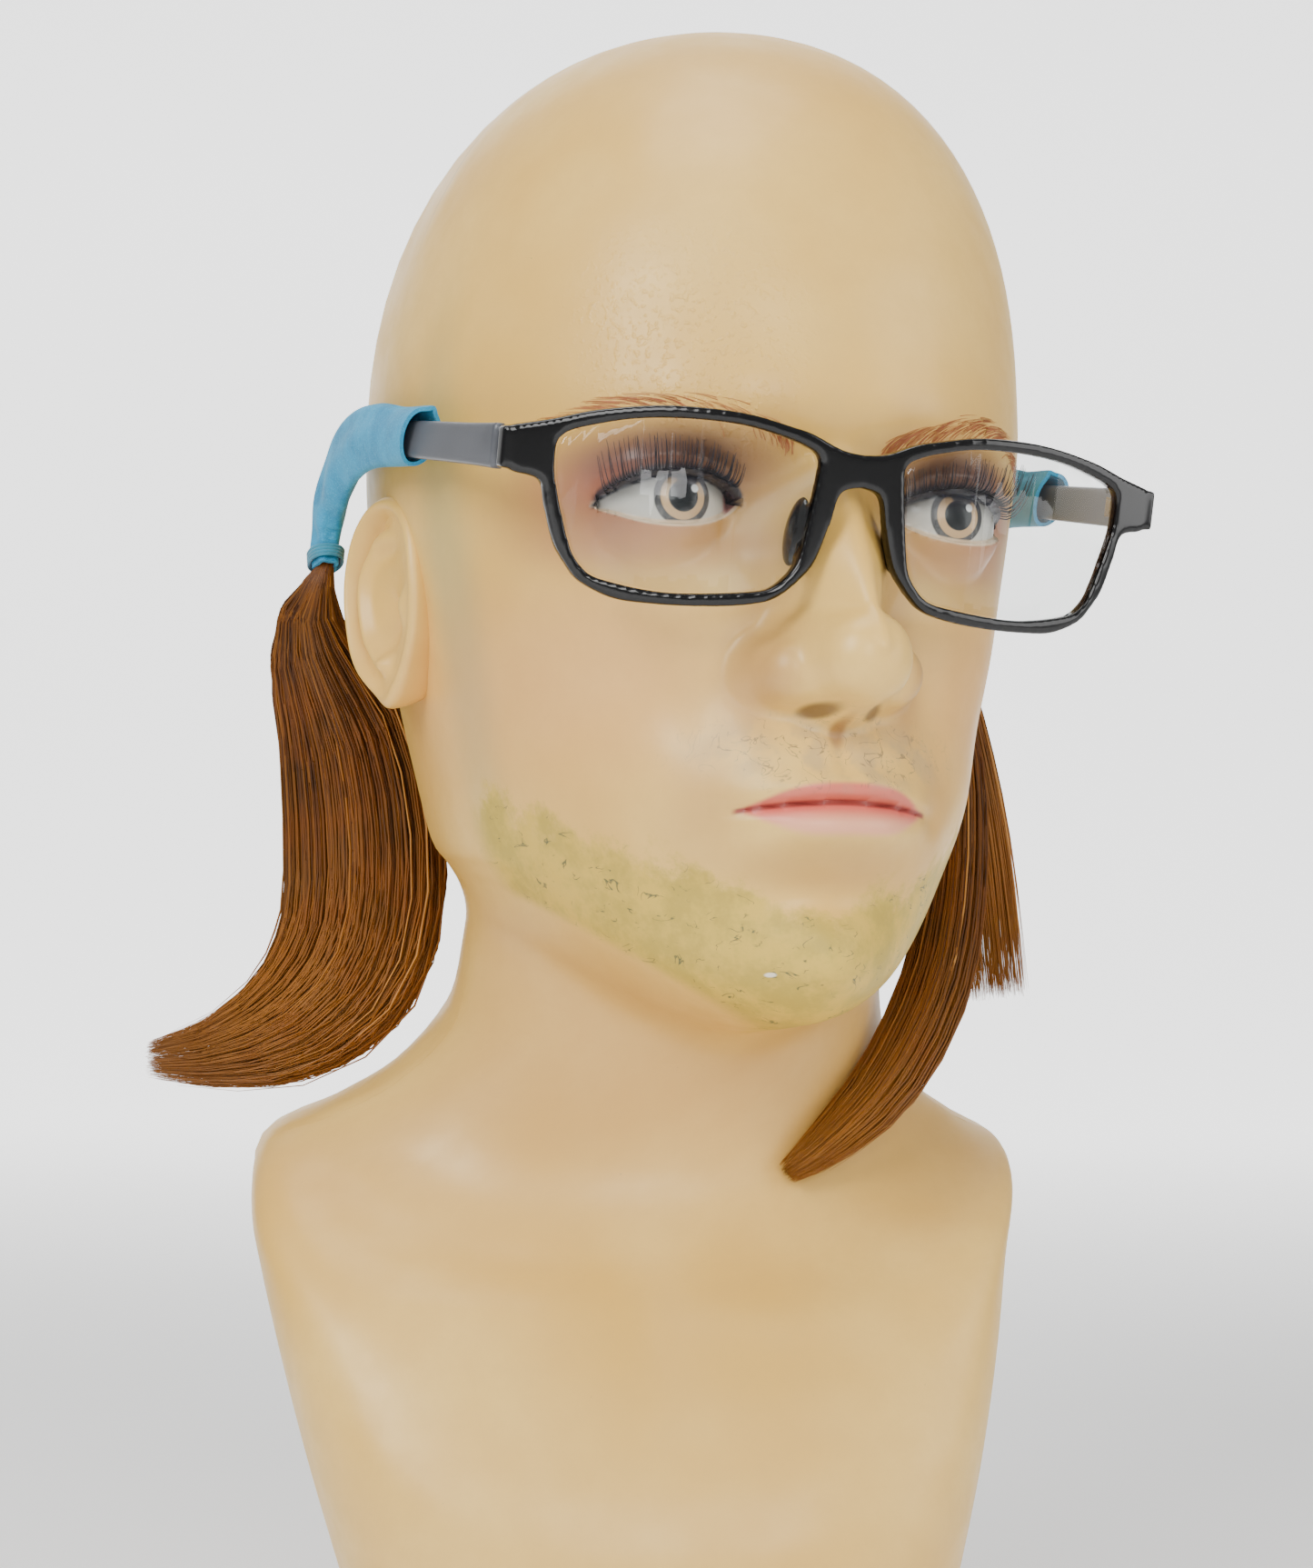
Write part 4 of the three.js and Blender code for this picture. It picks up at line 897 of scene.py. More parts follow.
class Ear:
    """One moulded ear, with its rim, inner fold, hollow, tragus and lobe."""

    BACK, UP, FLARE, LEAN = 16.0, 25.5, 0.06, math.radians(10)
    FRONT, MIDDLE, STAND = -85.0, -17.5, 70.0

    def __init__(self, form: Form, side: Side, skin: bpy.types.Material) -> None:
        """Build one ear and seat it on the skin."""
        self.form, self.side = form, side
        ear = mapped_grid(f"ear_{side.word}_moulded", 72, 64, self._place, close=True)
        dress(ear, skin, "bust", "moulded_skin", f"ear_{side.word}")

    def _height(self, reach: Array, angle: Array) -> Array:
        """How far the ear stands out, worked with its folds."""
        back, up = reach * np.cos(angle), reach * np.sin(angle)
        top = ease(-0.55, -0.1, up)
        rim = 3.6 * np.exp(-(((reach - 0.93) / 0.085) ** 2))
        rim = rim * (0.35 + 0.65 * ease(-0.75, -0.2, up + 0.5 * back))
        groove = -3.4 * np.exp(-(((reach - 0.77) / 0.075) ** 2)) * top * ease(-0.35, 0.15, back)
        fold = 3.0 * np.exp(-(((reach - 0.6) / 0.1) ** 2)) * ease(-0.3, 0.1, back) * ease(-0.95, -0.5, up)
        bowl = -6.5 * np.exp(-(((back + 0.08) / 0.36) ** 2) - ((up + 0.12) / 0.36) ** 2)
        upper = -2.8 * np.exp(-(((back + 0.02) / 0.4) ** 2) - ((up - 0.48) / 0.13) ** 2)
        crus = 1.8 * np.exp(-(((up - 0.12 - 0.3 * back) / 0.08) ** 2) - ((back + 0.3) / 0.3) ** 2)
        tragus = 3.6 * np.exp(-(((back + 0.66) / 0.17) ** 2) - ((up + 0.14) / 0.16) ** 2)
        anti = 2.0 * np.exp(-(((back - 0.02) / 0.2) ** 2) - ((up + 0.56) / 0.1) ** 2)
        lobe = 0.8 * np.exp(-(((back + 0.2) / 0.4) ** 2) - ((up + 0.86) / 0.2) ** 2)
        return 6.6 + rim + groove + fold + bowl + upper + crus + tragus + anti + lobe

    def _place(self, u: Array, v: Array) -> tuple[Array, Array]:
        """The ear as rings from its middle outwards and then down behind its edge."""
        angle = 2 * math.pi * u
        reach = np.where(v < 0.82, v / 0.82, 1 - 0.2 * ((v - 0.82) / 0.18) ** 1.6)
        height = self._height(reach, angle)
        fall = np.clip((v - 0.82) / 0.18, 0, 1)
        edge = self._height(np.ones_like(v), angle)
        round_ = 1 - np.sqrt(np.maximum(1 - np.clip((v / 0.82 - 0.9) / 0.1, 0, 1) ** 2, 0))
        height = np.where(v < 0.82, height - 1.8 * round_, edge - 1.8 - fall * (edge + 9))
        wide = self.BACK * (1 - 0.24 * ease(-0.4, -1.0, np.sin(angle)))
        back = wide * reach * np.cos(angle) * (1 + 0.18 * np.sin(angle))
        up = self.UP * reach * np.sin(angle)
        to_back = (back + self.BACK) / (2 * self.BACK)
        out = height * (0.35 + 0.65 * to_back) + self.FLARE * np.maximum(0, back + 6) * ease(-2, 3, height)
        x = self.side.value * (self.STAND + out)
        front = self.FRONT - back * math.cos(self.LEAN) - up * math.sin(self.LEAN)
        z = self.MIDDLE + up * math.cos(self.LEAN) - back * math.sin(self.LEAN)
        return self.form.placed(x, front, z), np.stack([x, front, z], -1)


class HairStrip:
    """Many fine hairs in one mesh, each a closed three-sided taper."""

    @staticmethod
    def build(name: str, paths: Array, widths: Array, tones: Array) -> bpy.types.Object:
        """Build the hairs.

        Args:
            name: The object's name.
            paths: Hairs x steps x 3 points, in metres.
            widths: Hairs x steps radii, in metres.
            tones: One value per hair, from 0 to 1.

        Returns:
            One object holding every hair.
        """
        hairs, steps, _ = paths.shape
        bm = bmesh.new()
        layer = bm.verts.layers.float_vector.new("own")
        bmesh.ops.create_grid(bm, x_segments=hairs * 4 - 1, y_segments=steps - 1, size=0.5)
        verts = sorted(bm.verts, key=lambda v: (round((v.co.x + 0.5) * (hairs * 4 - 1)), v.co.y))
        column = {vert: i // steps for i, vert in enumerate(verts)}
        between = [f for f in bm.faces if min(column[v] for v in f.verts) % 4 == 3]
        bmesh.ops.delete(bm, geom=between, context="FACES_ONLY")
        run = np.gradient(paths, axis=1)
        run /= np.maximum(np.linalg.norm(run, axis=2, keepdims=True), 1e-12)
        aside = np.cross(run, np.array([0.31, 0.95, 0.05]))
        aside /= np.maximum(np.linalg.norm(aside, axis=2, keepdims=True), 1e-12)
        through = np.cross(run, aside)
        along = np.linspace(0, 1, steps)
        for corner in range(4):
            turn = 2 * math.pi * (corner % 3) / 3
            ring = paths + widths[..., None] * (aside * math.cos(turn) + through * math.sin(turn))
            for hair in range(hairs):
                first = (hair * 4 + corner) * steps
                for step in range(steps):
                    vert = verts[first + step]
                    vert.co = ring[hair, step]
                    vert[layer] = (along[step], tones[hair], corner / 3)
        for vert in [v for v in bm.verts if not v.link_faces]:
            bm.verts.remove(vert)
        bmesh.ops.remove_doubles(bm, verts=bm.verts, dist=1e-7)
        return finish_mesh(name, bm)


class BrowsAndLashes:
    """The brows' fine strokes and the fans of lashes over the eyes."""

    LASHES = 74
    STROKES = {Side.RIGHT: 190, Side.LEFT: 300}
    # Stations along a brow: distance from the middle, height and half width.
    BROW = np.array([
        (10, 10.5, 1.8), (20, 14.5, 3.2), (34, 18.5, 3.2), (47, 18.0, 2.4), (59, 12.5, 1.0),
    ], float)

    def __init__(self, form: Form, brow: bpy.types.Material, lash: bpy.types.Material) -> None:
        """Build both sides."""
        self.form = form
        dice = random.Random(31)
        for side in Side:
            made = self._brow(side, dice)
            dress(made, brow, "bust", "lash")
            made = self._lashes(side, dice)
            dress(made, lash, "bust", "lash", f"eyelash_{side.word}")

    def _brow(self, side: Side, dice: random.Random) -> bpy.types.Object:
        """One brow: short strokes laid over the skin, thinned where they have worn off."""
        starts = []
        while len(starts) < self.STROKES[side]:
            at, across = dice.random(), dice.gauss(0, 0.5)
            worn = side is Side.RIGHT and 0.12 < at < 0.55 and dice.random() < 0.6
            if abs(across) < 1.2 and not worn:
                starts.append((at, across, dice.random()))
        at = np.array([s[0] for s in starts])
        x, z, half = np.moveaxis(spline(self.BROW, at), -1, 0)
        across = np.array([s[1] for s in starts])
        tone = np.array([s[2] for s in starts])
        lean = math.radians(62) - math.radians(64) * at - 0.35 * across
        length = 4.2 + 3.2 * tone
        step = np.linspace(0, 1, 4)
        xs = x[:, None] + length[:, None] * step * np.cos(lean)[:, None]
        zs = (z + across * half)[:, None] + length[:, None] * (step - 0.35 * step**2) * np.sin(lean)[:, None]
        front = self.form.front_at(side.value * xs, zs)
        paths = self.form.placed(side.value * xs, front + 0.1, zs)
        widths = 0.1 * MM * (1 - 0.75 * step) * np.ones((len(at), 1))
        return HairStrip.build(f"brow_{side.word}", paths, widths, tone)

    def _lashes(self, side: Side, dice: random.Random) -> bpy.types.Object:
        """One fan of lashes along the upper lid."""
        rows = []
        for i in range(self.LASHES):
            along = (i + dice.uniform(-0.3, 0.3)) / (self.LASHES - 1)
            rows.append((along, dice.uniform(0.8, 1.12), dice.uniform(-0.12, 0.12), dice.random()))
        along, size, sway, tone = (np.array([r[k] for r in rows]) for k in range(4))
        x = 20.4 + 26.6 * along
        upper, _ = self.form.lids(x)
        root_z = upper + 0.9
        root_front = self.form.front_at(x, root_z) + 0.1
        length = (5.2 + 4.2 * np.clip(along, 0, 1)) * size
        step = np.linspace(0, 1, 6)
        fan = (along - 0.38)[:, None] * 0.9 + sway[:, None]
        xs = x[:, None] + length[:, None] * step * np.sin(fan)
        fronts = root_front[:, None] + length[:, None] * np.sin(step * 1.35) * 0.62
        zs = root_z[:, None] + length[:, None] * (0.78 * step**1.7 - 0.16 * np.sin(step * 3))
        paths = self.form.placed(side.value * xs, fronts, zs)
        widths = 0.2 * MM * (1 - 0.72 * step) * np.ones((len(along), 1))
        return HairStrip.build(f"lashes_{side.word}", paths, widths, tone)


@dataclass(frozen=True)
class SpectacleShape:
    """The frame's outlines and arms, in millimetres, in its own axes: across, back and up."""

    place: tuple[float, float, float] = (0.0, 2.8, 4.2)
    turn: tuple[float, float, float] = (9.5, 1.3, 16.0)
    depth: float = 3.4
    lens: tuple[float, float] = (0.5, 2.0)
    aperture: tuple[tuple[float, float], ...] = (
        (9.6, 3.7), (12.5, -16.4), (15.5, -21.2), (20, -23.8), (40, -25.8), (55, -23.9), (59, -20.8),
        (61, -16.8), (64.5, -5.2), (65, 1.6), (64, 4), (61, 5.7), (50, 8.7), (38, 9.9), (26, 9.6),
        (16, 7.6), (11, 5.7))
    upper: tuple[tuple[float, float], ...] = (
        (73.5, 5.3), (66, 7.2), (58, 9.7), (46, 11.9), (36, 12.5), (26, 12.1), (17, 10.5), (12, 9.4),
        (5, 6.7), (0, 6.1))
    lower: tuple[tuple[float, float], ...] = (
        (0, -0.7), (4.6, -2.2), (6.4, -9), (9, -17.1), (13, -22), (17.5, -25.5), (25, -27.3), (35, -28.2),
        (43, -28.4), (51, -27.9), (58, -25), (61, -21.7), (63.5, -17.9), (66, -10.2), (67.5, -5.4),
        (72.5, -4.3), (73.5, -3.9))
    temple: tuple[tuple[float, ...], ...] = (
        (74.5, 1.2, 0.7, 4.7, 1.5), (76, 15, 0.7, 4.4, 1.5), (78.5, 45, 0.7, 4.15, 1.5),
        (81.5, 78, 0.6, 3.6, 1.5), (82.2, 92, -1.5, 3.3, 1.5), (82.2, 104, -6.5, 3.1, 1.5),
        (81.6, 113, -12.8, 2.9, 1.5), (81, 118, -18.5, 2.4, 1.5))
    sleeve: tuple[tuple[float, ...], ...] = (
        (78.6, 46, 0.7, 5.9, 3.9), (80, 60, 0.7, 6.6, 3.9), (81.5, 78, 0.5, 7.6, 3.9),
        (82.2, 92, -1.9, 8.2, 3.9), (82.2, 104, -7, 8.3, 3.9), (81.8, 113, -13.6, 7.4, 3.9),
        (81.6, 117.5, -20.5, 6, 3.9), (81.8, 117, -26.5, 4.8, 3.5), (82.1, 114, -32.5, 4.2, 3.1))

    @staticmethod
    def wrap(x: Array) -> Array:
        """How far back of the hinge line the front's face lies."""
        return -(15.2 - 9 * (x / 70) ** 2)


class Spectacles:
    """Reading glasses: a one-piece gloss front, two lenses and two satin arms."""

    VOXEL = 0.36 * MM
    SMOOTHINGS = 12
    LENS_SHARE = 0.985

    def __init__(self, form: Form, shape: SpectacleShape, gloss: bpy.types.Material,
                 satin: bpy.types.Material, glass: bpy.types.Material) -> None:
        """Build every rigid piece of the glasses."""
        self.form, self.shape = form, shape
        pitch, roll, yaw = (math.radians(angle) for angle in shape.turn)
        turn = Matrix.Rotation(yaw, 3, "Z") @ Matrix.Rotation(roll, 3, "Y") @ Matrix.Rotation(pitch, 3, "X")
        self.turn = np.array(turn)
        x, front, z = shape.place
        self.middle = form.placed(np.array(x), np.array(front), np.array(z))
        dress(self._front(), gloss, "spectacles", "gloss_frame", "spectacle_front")
        for side in Side:
            dress(self._lens(side), glass, "spectacles", "clear_lens", f"lens_{side.word}")
            arm = self._temple(side)
            dress(arm, satin, f"temple_arm_{side.word}", "temple_finish", f"temple_{side.word}")

    def world(self, points: Array) -> Array:
        """Carry the glasses' own millimetres to the row frame in metres."""
        return points @ self.turn.T * MM + self.middle

    def _plate(self, bm: bmesh.types.BMesh, loops: list[Array], behind: float, depth: float) -> None:
        """Fill flat loops, give them thickness and bend them to the wrap of the front."""
        edges = []
        for loop in loops:
            verts = [bm.verts.new((x, 0, z)) for x, z in loop]
            edges += [bm.edges.new((verts[i - 1], verts[i])) for i in range(len(verts))]
        bmesh.ops.triangle_fill(bm, use_beauty=True, use_dissolve=False, edges=edges)
        for x in np.arange(-72, 73, 3.0):
            geometry = list(bm.verts) + list(bm.edges) + list(bm.faces)
            bmesh.ops.bisect_plane(
                bm, geom=geometry, plane_co=(x + 0.013, 0, 0), plane_no=(1, 0, 0), dist=1e-4)
        made = bmesh.ops.extrude_face_region(bm, geom=list(bm.faces))
        for vert in [v for v in made["geom"] if isinstance(v, bmesh.types.BMVert)]:
            vert.co.y += depth
        for vert in bm.verts:
            vert.co.y += float(self.shape.wrap(np.array(vert.co.x))) + behind

    @staticmethod
    def _dense(points: Array, closed: bool, step: float) -> Array:
        """Points closer together along an outline, with its corners eased."""
        rows = np.array(points, float)
        if closed:
            rows = np.concatenate([rows, rows[:1]])
        out = []
        count = len(rows) - 1
        for i in range(count):
            before = rows[(i - 1) % count] if closed else rows[max(i - 1, 0)]
            after = rows[(i + 2) % count] if closed and i + 2 > count else rows[min(i + 2, count)]
            start, end = rows[i], rows[i + 1]
            number = max(1, int(np.linalg.norm(end - start) / step))
            f = np.arange(number)[:, None] / number
            run_in, run_out = (end - before) / 2, (after - start) / 2
            size = np.linalg.norm(end - start)
            run_in = run_in * min(1, size / max(np.linalg.norm(run_in), 1e-9))
            run_out = run_out * min(1, size / max(np.linalg.norm(run_out), 1e-9))
            out.append(curve_between(start, end, run_in, run_out, f))
        return np.concatenate(out)

    def _finish(self, name: str, bm: bmesh.types.BMesh) -> bpy.types.Object:
        """Carry a mesh worked in the glasses' own axes to the row frame."""
        points = self.world(np.array([v.co for v in bm.verts]))
        for vert, point in zip(bm.verts, points):
            vert.co = point
        return finish_mesh(name, bm)

    def _front(self) -> bpy.types.Object:
        """The front: rims, bridge, pads and end pieces, melted into one smooth moulding."""
        shape = self.shape
        upper, lower = (
            np.concatenate([self._dense(edge, False, 1.2), [edge[-1]]])
            for edge in (shape.upper, shape.lower)
        )
        mirror = np.array([(-1, 1)])
        outline = np.concatenate([upper, (upper * mirror)[::-1][1:], (lower * mirror)[::-1], lower[1:]])
        hole = self._dense(shape.aperture, True, 1.2)
        bm = bmesh.new()
        self._plate(bm, [outline, hole, hole * mirror], 0, shape.depth)
        for side in (-1, 1):
            low, high = (72.2, float(shape.wrap(np.array(74.0))), -3.6), (75.8, -0.8, 5.0)
            size = [b - a for a, b in zip(low, high)]
            x, back, z = [(a + b) / 2 for a, b in zip(low, high)]
            end_piece = Matrix.Translation((side * x, back, z)) @ Matrix.Diagonal((*size, 1))
            bmesh.ops.create_cube(bm, size=1, matrix=end_piece)
            pad = Matrix.Translation((side * 11.2, float(shape.wrap(np.array(11.0))) + 6.6, -11))
            pad = pad @ Matrix.Rotation(side * -0.14, 4, "Y") @ Matrix.Diagonal((2.0, 4.4, 7.6, 1))
            bmesh.ops.create_uvsphere(bm, u_segments=24, v_segments=16, radius=1, matrix=pad)
        for vert in bm.verts:
            vert.co *= MM
        made = finish_mesh("glasses_front", bm)
        melt = made.modifiers.new("melt", "REMESH")
        melt.mode = "VOXEL"
        melt.voxel_size = self.VOXEL
        melt.use_smooth_shade = True
        bake_modifiers(made)
        bm = bmesh.new()
        bm.from_mesh(made.data)
        for _ in range(self.SMOOTHINGS):
            bmesh.ops.smooth_vert(
                bm, verts=bm.verts, factor=0.5, use_axis_x=True, use_axis_y=True, use_axis_z=True)
        points = self.world(np.array([v.co for v in bm.verts]) / MM)
        for vert, point in zip(bm.verts, points):
            vert.co = point
        bm.to_mesh(made.data)
        bm.free()
        made.data.shade_smooth()
        return made

    def _lens(self, side: Side) -> bpy.types.Object:
        """One clear lens, a little inside its opening."""
        loop = self._dense(self.shape.aperture, True, 2.0) * np.array([(side.value, 1)])
        middle = (loop.max(0) + loop.min(0)) / 2
        loop = middle + (loop - middle) * self.LENS_SHARE
        bm = bmesh.new()
        self._plate(bm, [loop], *self.shape.lens)
        return self._finish(f"lens_{side.word}_clear", bm)

    def tube(self, stations: Array, side: Side, along: Array, around: Array, square: float,
             grow: Array | float = 0.0) -> Array:
        """Points of a strap through its stations.

        Args:
            stations: Rows of across, back, up, half height and half thickness.
            side: Which arm.
            along: Places along it from 0 to 1.
            around: Angles round it.
            square: How square its section is.
            grow: How far to move the surface out.

        Returns:
            Points in the glasses' own millimetres.
        """
        rows = spline(np.array(stations, float), along)
        ahead = spline(np.array(stations, float), np.minimum(along + 0.01, 1))
        behind = spline(np.array(stations, float), np.maximum(along - 0.01, 0))
        run = ahead[..., 1:3] - behind[..., 1:3]
        run = run / np.linalg.norm(run, axis=-1, keepdims=True)
        curve = lambda value: np.sign(value) * np.abs(value) ** (2 / square)
        up = (rows[..., 3] + grow) * curve(np.sin(around))
        out = (rows[..., 4] + grow) * curve(np.cos(around))
        return np.stack([side.value * (rows[..., 0] + out), rows[..., 1] - run[..., 1] * up,
                         rows[..., 2] + run[..., 0] * up], -1)

    def _temple(self, side: Side) -> bpy.types.Object:
        """One arm, drawn out and bent down behind the ear, with rounded ends."""
        def place(u: Array, v: Array) -> tuple[Array, Array]:
            """A closed strap."""
            end = np.minimum(v, 1 - v) / 0.012
            close = np.sqrt(1 - (1 - np.clip(end, 0, 1)) ** 2)
            points = self.tube(self.shape.temple, side, v, 2 * math.pi * u, 4.5)
            spine = self.tube(self.shape.temple, side, v, 2 * math.pi * u, 4.5, -1.0)
            points = spine + (points - spine) * close[..., None]
            return self.world(points), np.stack([u, v, v], -1)
        return mapped_grid(f"temple_{side.word}_arm", 40, 110, place, close=True)


class Sleeves:
    """Soft cloth sleeves over the arms' tips, and the elastic that gathers the hair in their tails."""

    CLOTH, ELASTIC = 0.9 * MM, 0.8 * MM
    STRETCH = 1.03

    def __init__(self, glasses: Spectacles, cloth: bpy.types.Material, elastic: bpy.types.Material) -> None:
        """Build both sleeves and both bindings."""
        self.glasses = glasses
        for side in Side:
            sleeve = mapped_grid(f"sleeve_{side.word}", 72, 96, self._place(side))
            thicken(sleeve, self.CLOTH)
            dress(sleeve, cloth, f"temple_arm_{side.word}", "sleeve_cloth", f"cloth_sleeve_{side.word}")
            f"temple_{side.word}_arm"
            binding = mapped_grid(f"binding_{side.word}", 64, 40, self._binding(side))
            thicken(binding, self.ELASTIC)
            dress(binding, elastic, f"temple_arm_{side.word}", "elastic", f"hair_binding_{side.word}")

    def _place(self, side: Side) -> Callable[[Array, Array], tuple[Array, Array]]:
        """The sleeve's outer surface, folded, creased and open at its mouth."""
        def place(u: Array, v: Array) -> tuple[Array, Array]:
            """Points of the sleeve."""
            angle = 2 * math.pi * u
            shifted = angle - 1.9 + 0.5 * v
            fold = 0.9 * np.exp(-((np.angle(np.exp(1j * shifted)) / 0.18) ** 2))
            waves = 0.34 * np.sin(9 * v * math.pi + 2.1 * np.sin(angle)) * ease(0.2, 0.6, v)
            waves = waves * (0.5 + 0.5 * np.cos(angle + 0.6))
            pull = 0.3 * np.sin(5 * angle + 7 * v) * ease(0.05, 0.3, v)
            mouth = 1.5 * (1 - ease(0, 0.16, v)) * (0.5 + 0.5 * np.sin(angle))
            grow = fold + waves + pull + mouth - 0.25
            slant = 0.03 * (1 - ease(0, 0.25, v)) * (1 - np.sin(angle))
            along = np.clip(v * 0.985 + slant, 0, 1)
            points = self.glasses.tube(self.glasses.shape.sleeve, side, along, angle, 2.1, grow)
            return self.glasses.world(points), np.stack([u, v, angle], -1)
        return place

    def _binding(self, side: Side) -> Callable[[Array, Array], tuple[Array, Array]]:
        """A ribbed elastic ring round the tail."""
        def place(u: Array, v: Array) -> tuple[Array, Array]:
            """Points of the ring."""
            along = 0.905 + 0.06 * v
            ribs = 0.95 + 0.22 * np.abs(np.sin(v * 4 * math.pi))
            points = self.glasses.tube(self.glasses.shape.sleeve, side, along, 2 * math.pi * u, 2.2, ribs)
            return self.glasses.world(points), np.stack([u, v, v], -1)
        return place


@dataclass(frozen=True)
class HankShape:
    """One hank of hair: its nodes' stations, in the row frame's millimetres from the eyes."""

    node: str
    side: Side
    stations: tuple[tuple[float, float, float, float, float], ...]
    hairs: int
    seed: int
    ragged: float
    from_tail: bool = True


HANKS = (
    HankShape("hair_hank_right", Side.RIGHT, (
        (-79, -95, -18, 7.5, 5), (-76.5, -99, -31, 12.5, 6.5), (-69, -104, -48, 17.5, 7.5),
        (-65, -106, -70, 19.5, 8.5), (-65, -107, -92, 19.5, 8.5), (-71, -109, -108, 18.5, 8),
        (-84, -112, -120, 14.5, 7), (-102, -116, -127, 8.5, 4.8), (-119, -118, -129, 4, 2.5)), 2250, 5, 0.12),
    HankShape("hair_lock_left_rear", Side.LEFT, (
        (86, -135, -22, 5.5, 4), (89.5, -134, -45, 9, 5.5), (93, -130, -75, 11, 5.5),
        (96, -125, -112, 12, 5)), 1100, 6, 0.035),
    HankShape("hair_lock_left_front", Side.LEFT, (
        (85.5, -131, -23, 1.6, 1.6), (86, -124, -31, 4, 3), (87, -116, -52, 7, 4.5), (84, -102, -80, 8, 5),
        (76, -84, -106, 8.5, 5), (62, -68, -128, 8, 4.5), (46, -57, -142, 5.5, 3.8),
        (35, -52, -149, 2.6, 2)), 1200, 7, 0.1, False),
)


class Hair:
    """A hank of straight hair that leaves a sleeve's tail, spreads and turns at its ends."""

    STEPS = 15
    LOCKS = 46
    STRAYS = 0.03

    def __init__(self, glasses: Spectacles, shape: HankShape, hair: bpy.types.Material) -> None:
        """Build one hank."""
        self.glasses, self.shape = glasses, shape
        self.dice = np.random.default_rng(shape.seed)
        rows = self._rows()
        strands = self._strands(rows)
        body = f"temple_arm_{shape.side.word}"
        # A dark core of painted shade fills the hank's depth.
        shade_core = mapped_grid(f"{shape.node}_core", 28, 40, lambda u, v: self._core(rows, u, v), close=True)
        dress(shade_core, hair, body, "hair")
        dress(strands, hair, body, "hair", shape.node)

    def _rows(self) -> Array:
        """Stations as points in metres with their half width and half depth."""
        origin = self.glasses.form.origin
        origin = origin + np.array((self.glasses.form.chest_lean[0], 0, 0))
        rows = [((x + origin[0]) * MM, (-front + origin[1]) * MM, (z + origin[2]) * MM, wide * MM, deep * MM)
                for x, front, z, wide, deep in self.shape.stations]
        if self.shape.from_tail:
            tail = np.array(self.glasses.shape.sleeve[-2:])[:, :3] * np.array([self.shape.side.value, 1, 1])
            inside = self.glasses.world(tail[0] * 0.6 + tail[1] * 0.4)
            mouth = self.glasses.world(tail[1])
            rows = [(*inside, 1.7 * MM, 1.7 * MM), (*mouth, 2.0 * MM, 1.9 * MM), *rows]
        return np.array(rows)

    @staticmethod
    def _frames(rows: Array, at: Array) -> tuple[Array, Array, Array]:
        """Rows, sideways and through directions at places along the hank."""
        here = spline(rows, at)
        ahead, behind = spline(rows, np.minimum(at + 0.01, 1)), spline(rows, np.maximum(at - 0.01, 0))
        run = ahead[..., :3] - behind[..., :3]
        run = run / np.linalg.norm(run, axis=-1, keepdims=True)
        aside = np.cross(np.broadcast_to((0.0, 1.0, 0.0), run.shape), run)
        aside = aside / np.linalg.norm(aside, axis=-1, keepdims=True)
        return here, aside, np.cross(run, aside)

    def _core(self, rows: Array, u: Array, v: Array) -> tuple[Array, Array]:
        """A dark mass inside the hank: painted shade in its depth."""
        at = 0.02 + 0.86 * v
        here, aside, through = self._frames(rows, at)
        close = np.sqrt(1 - (1 - np.clip(np.minimum(v, 1 - v) / 0.1, 0, 1)) ** 2) * 0.8
        angle = 2 * math.pi * u
        wide = (here[..., 3] * close * np.cos(angle))[..., None]
        deep = (here[..., 4] * close * np.sin(angle))[..., None]
        points = here[..., :3] + aside * wide + through * deep
        return points, np.stack([v, np.full_like(v, 0.12), u], -1)

    def _strands(self, rows: Array) -> bpy.types.Object:
        """Every strand, gathered in locks."""
        count, dice, shape = self.shape.hairs, self.dice, self.shape
        locks = self.LOCKS
        lock = dice.integers(0, locks, count)
        lock_angle = dice.uniform(0, 2 * math.pi, locks)
        lock_reach = np.sqrt(dice.uniform(0.05, 1, locks))
        spread = 0.3 + 0.25 * dice.random(count)
        angle = lock_angle[lock] + dice.normal(0, 0.34, count)
        reach = np.clip(lock_reach[lock] + dice.normal(0, 0.14, count), 0, 1)
        a, b = reach * np.cos(angle), reach * np.sin(angle)
        end = 1 - shape.ragged * dice.random(count) ** 1.6 - 0.02 * dice.random(locks)[lock]
        stray = dice.random(count) < self.STRAYS
        step = np.linspace(0, 1, self.STEPS)
        at = step[None, :] * end[:, None]
        here, aside, through = self._frames(rows, at)
        gather = 0.12 * np.sin(np.pi * step)[None, :] * (dice.random(locks)[lock] - 0.5)[:, None]
        pace = dice.uniform(3, 7, locks)[lock][:, None]
        wave = 0.5 * MM * np.sin(step[None, :] * pace + dice.uniform(0, 6, count)[:, None])
        out = 1 + np.where(stray, 0.1, 0)[:, None] * step[None, :]
        across = (a[:, None] * (1 + gather)) * out * here[..., 3] + wave * step[None, :]
        deep = b[:, None] * out * here[..., 4] + wave * spread[:, None] * step[None, :]
        paths = here[..., :3] + aside * across[..., None] + through * deep[..., None]
        taper = 0.25 + 0.75 * np.sin(np.clip(step, 0.02, 1) * math.pi * 0.92) ** 0.5
        taper = np.where(step > 0.75, np.maximum(1 - (step - 0.75) / 0.25, 0.12) * 0.9, taper)
        widths = (0.2 + 0.15 * dice.random(count))[:, None] * MM * taper[None, :]
        # Painted shade: strands deep inside the hank get darker tones.
        inner = 0.45 + 0.55 * reach**2
        tones = np.clip(dice.random(count) * inner, 0, 1)
        return HairStrip.build(f"{shape.node}_strands", paths, widths, tones)


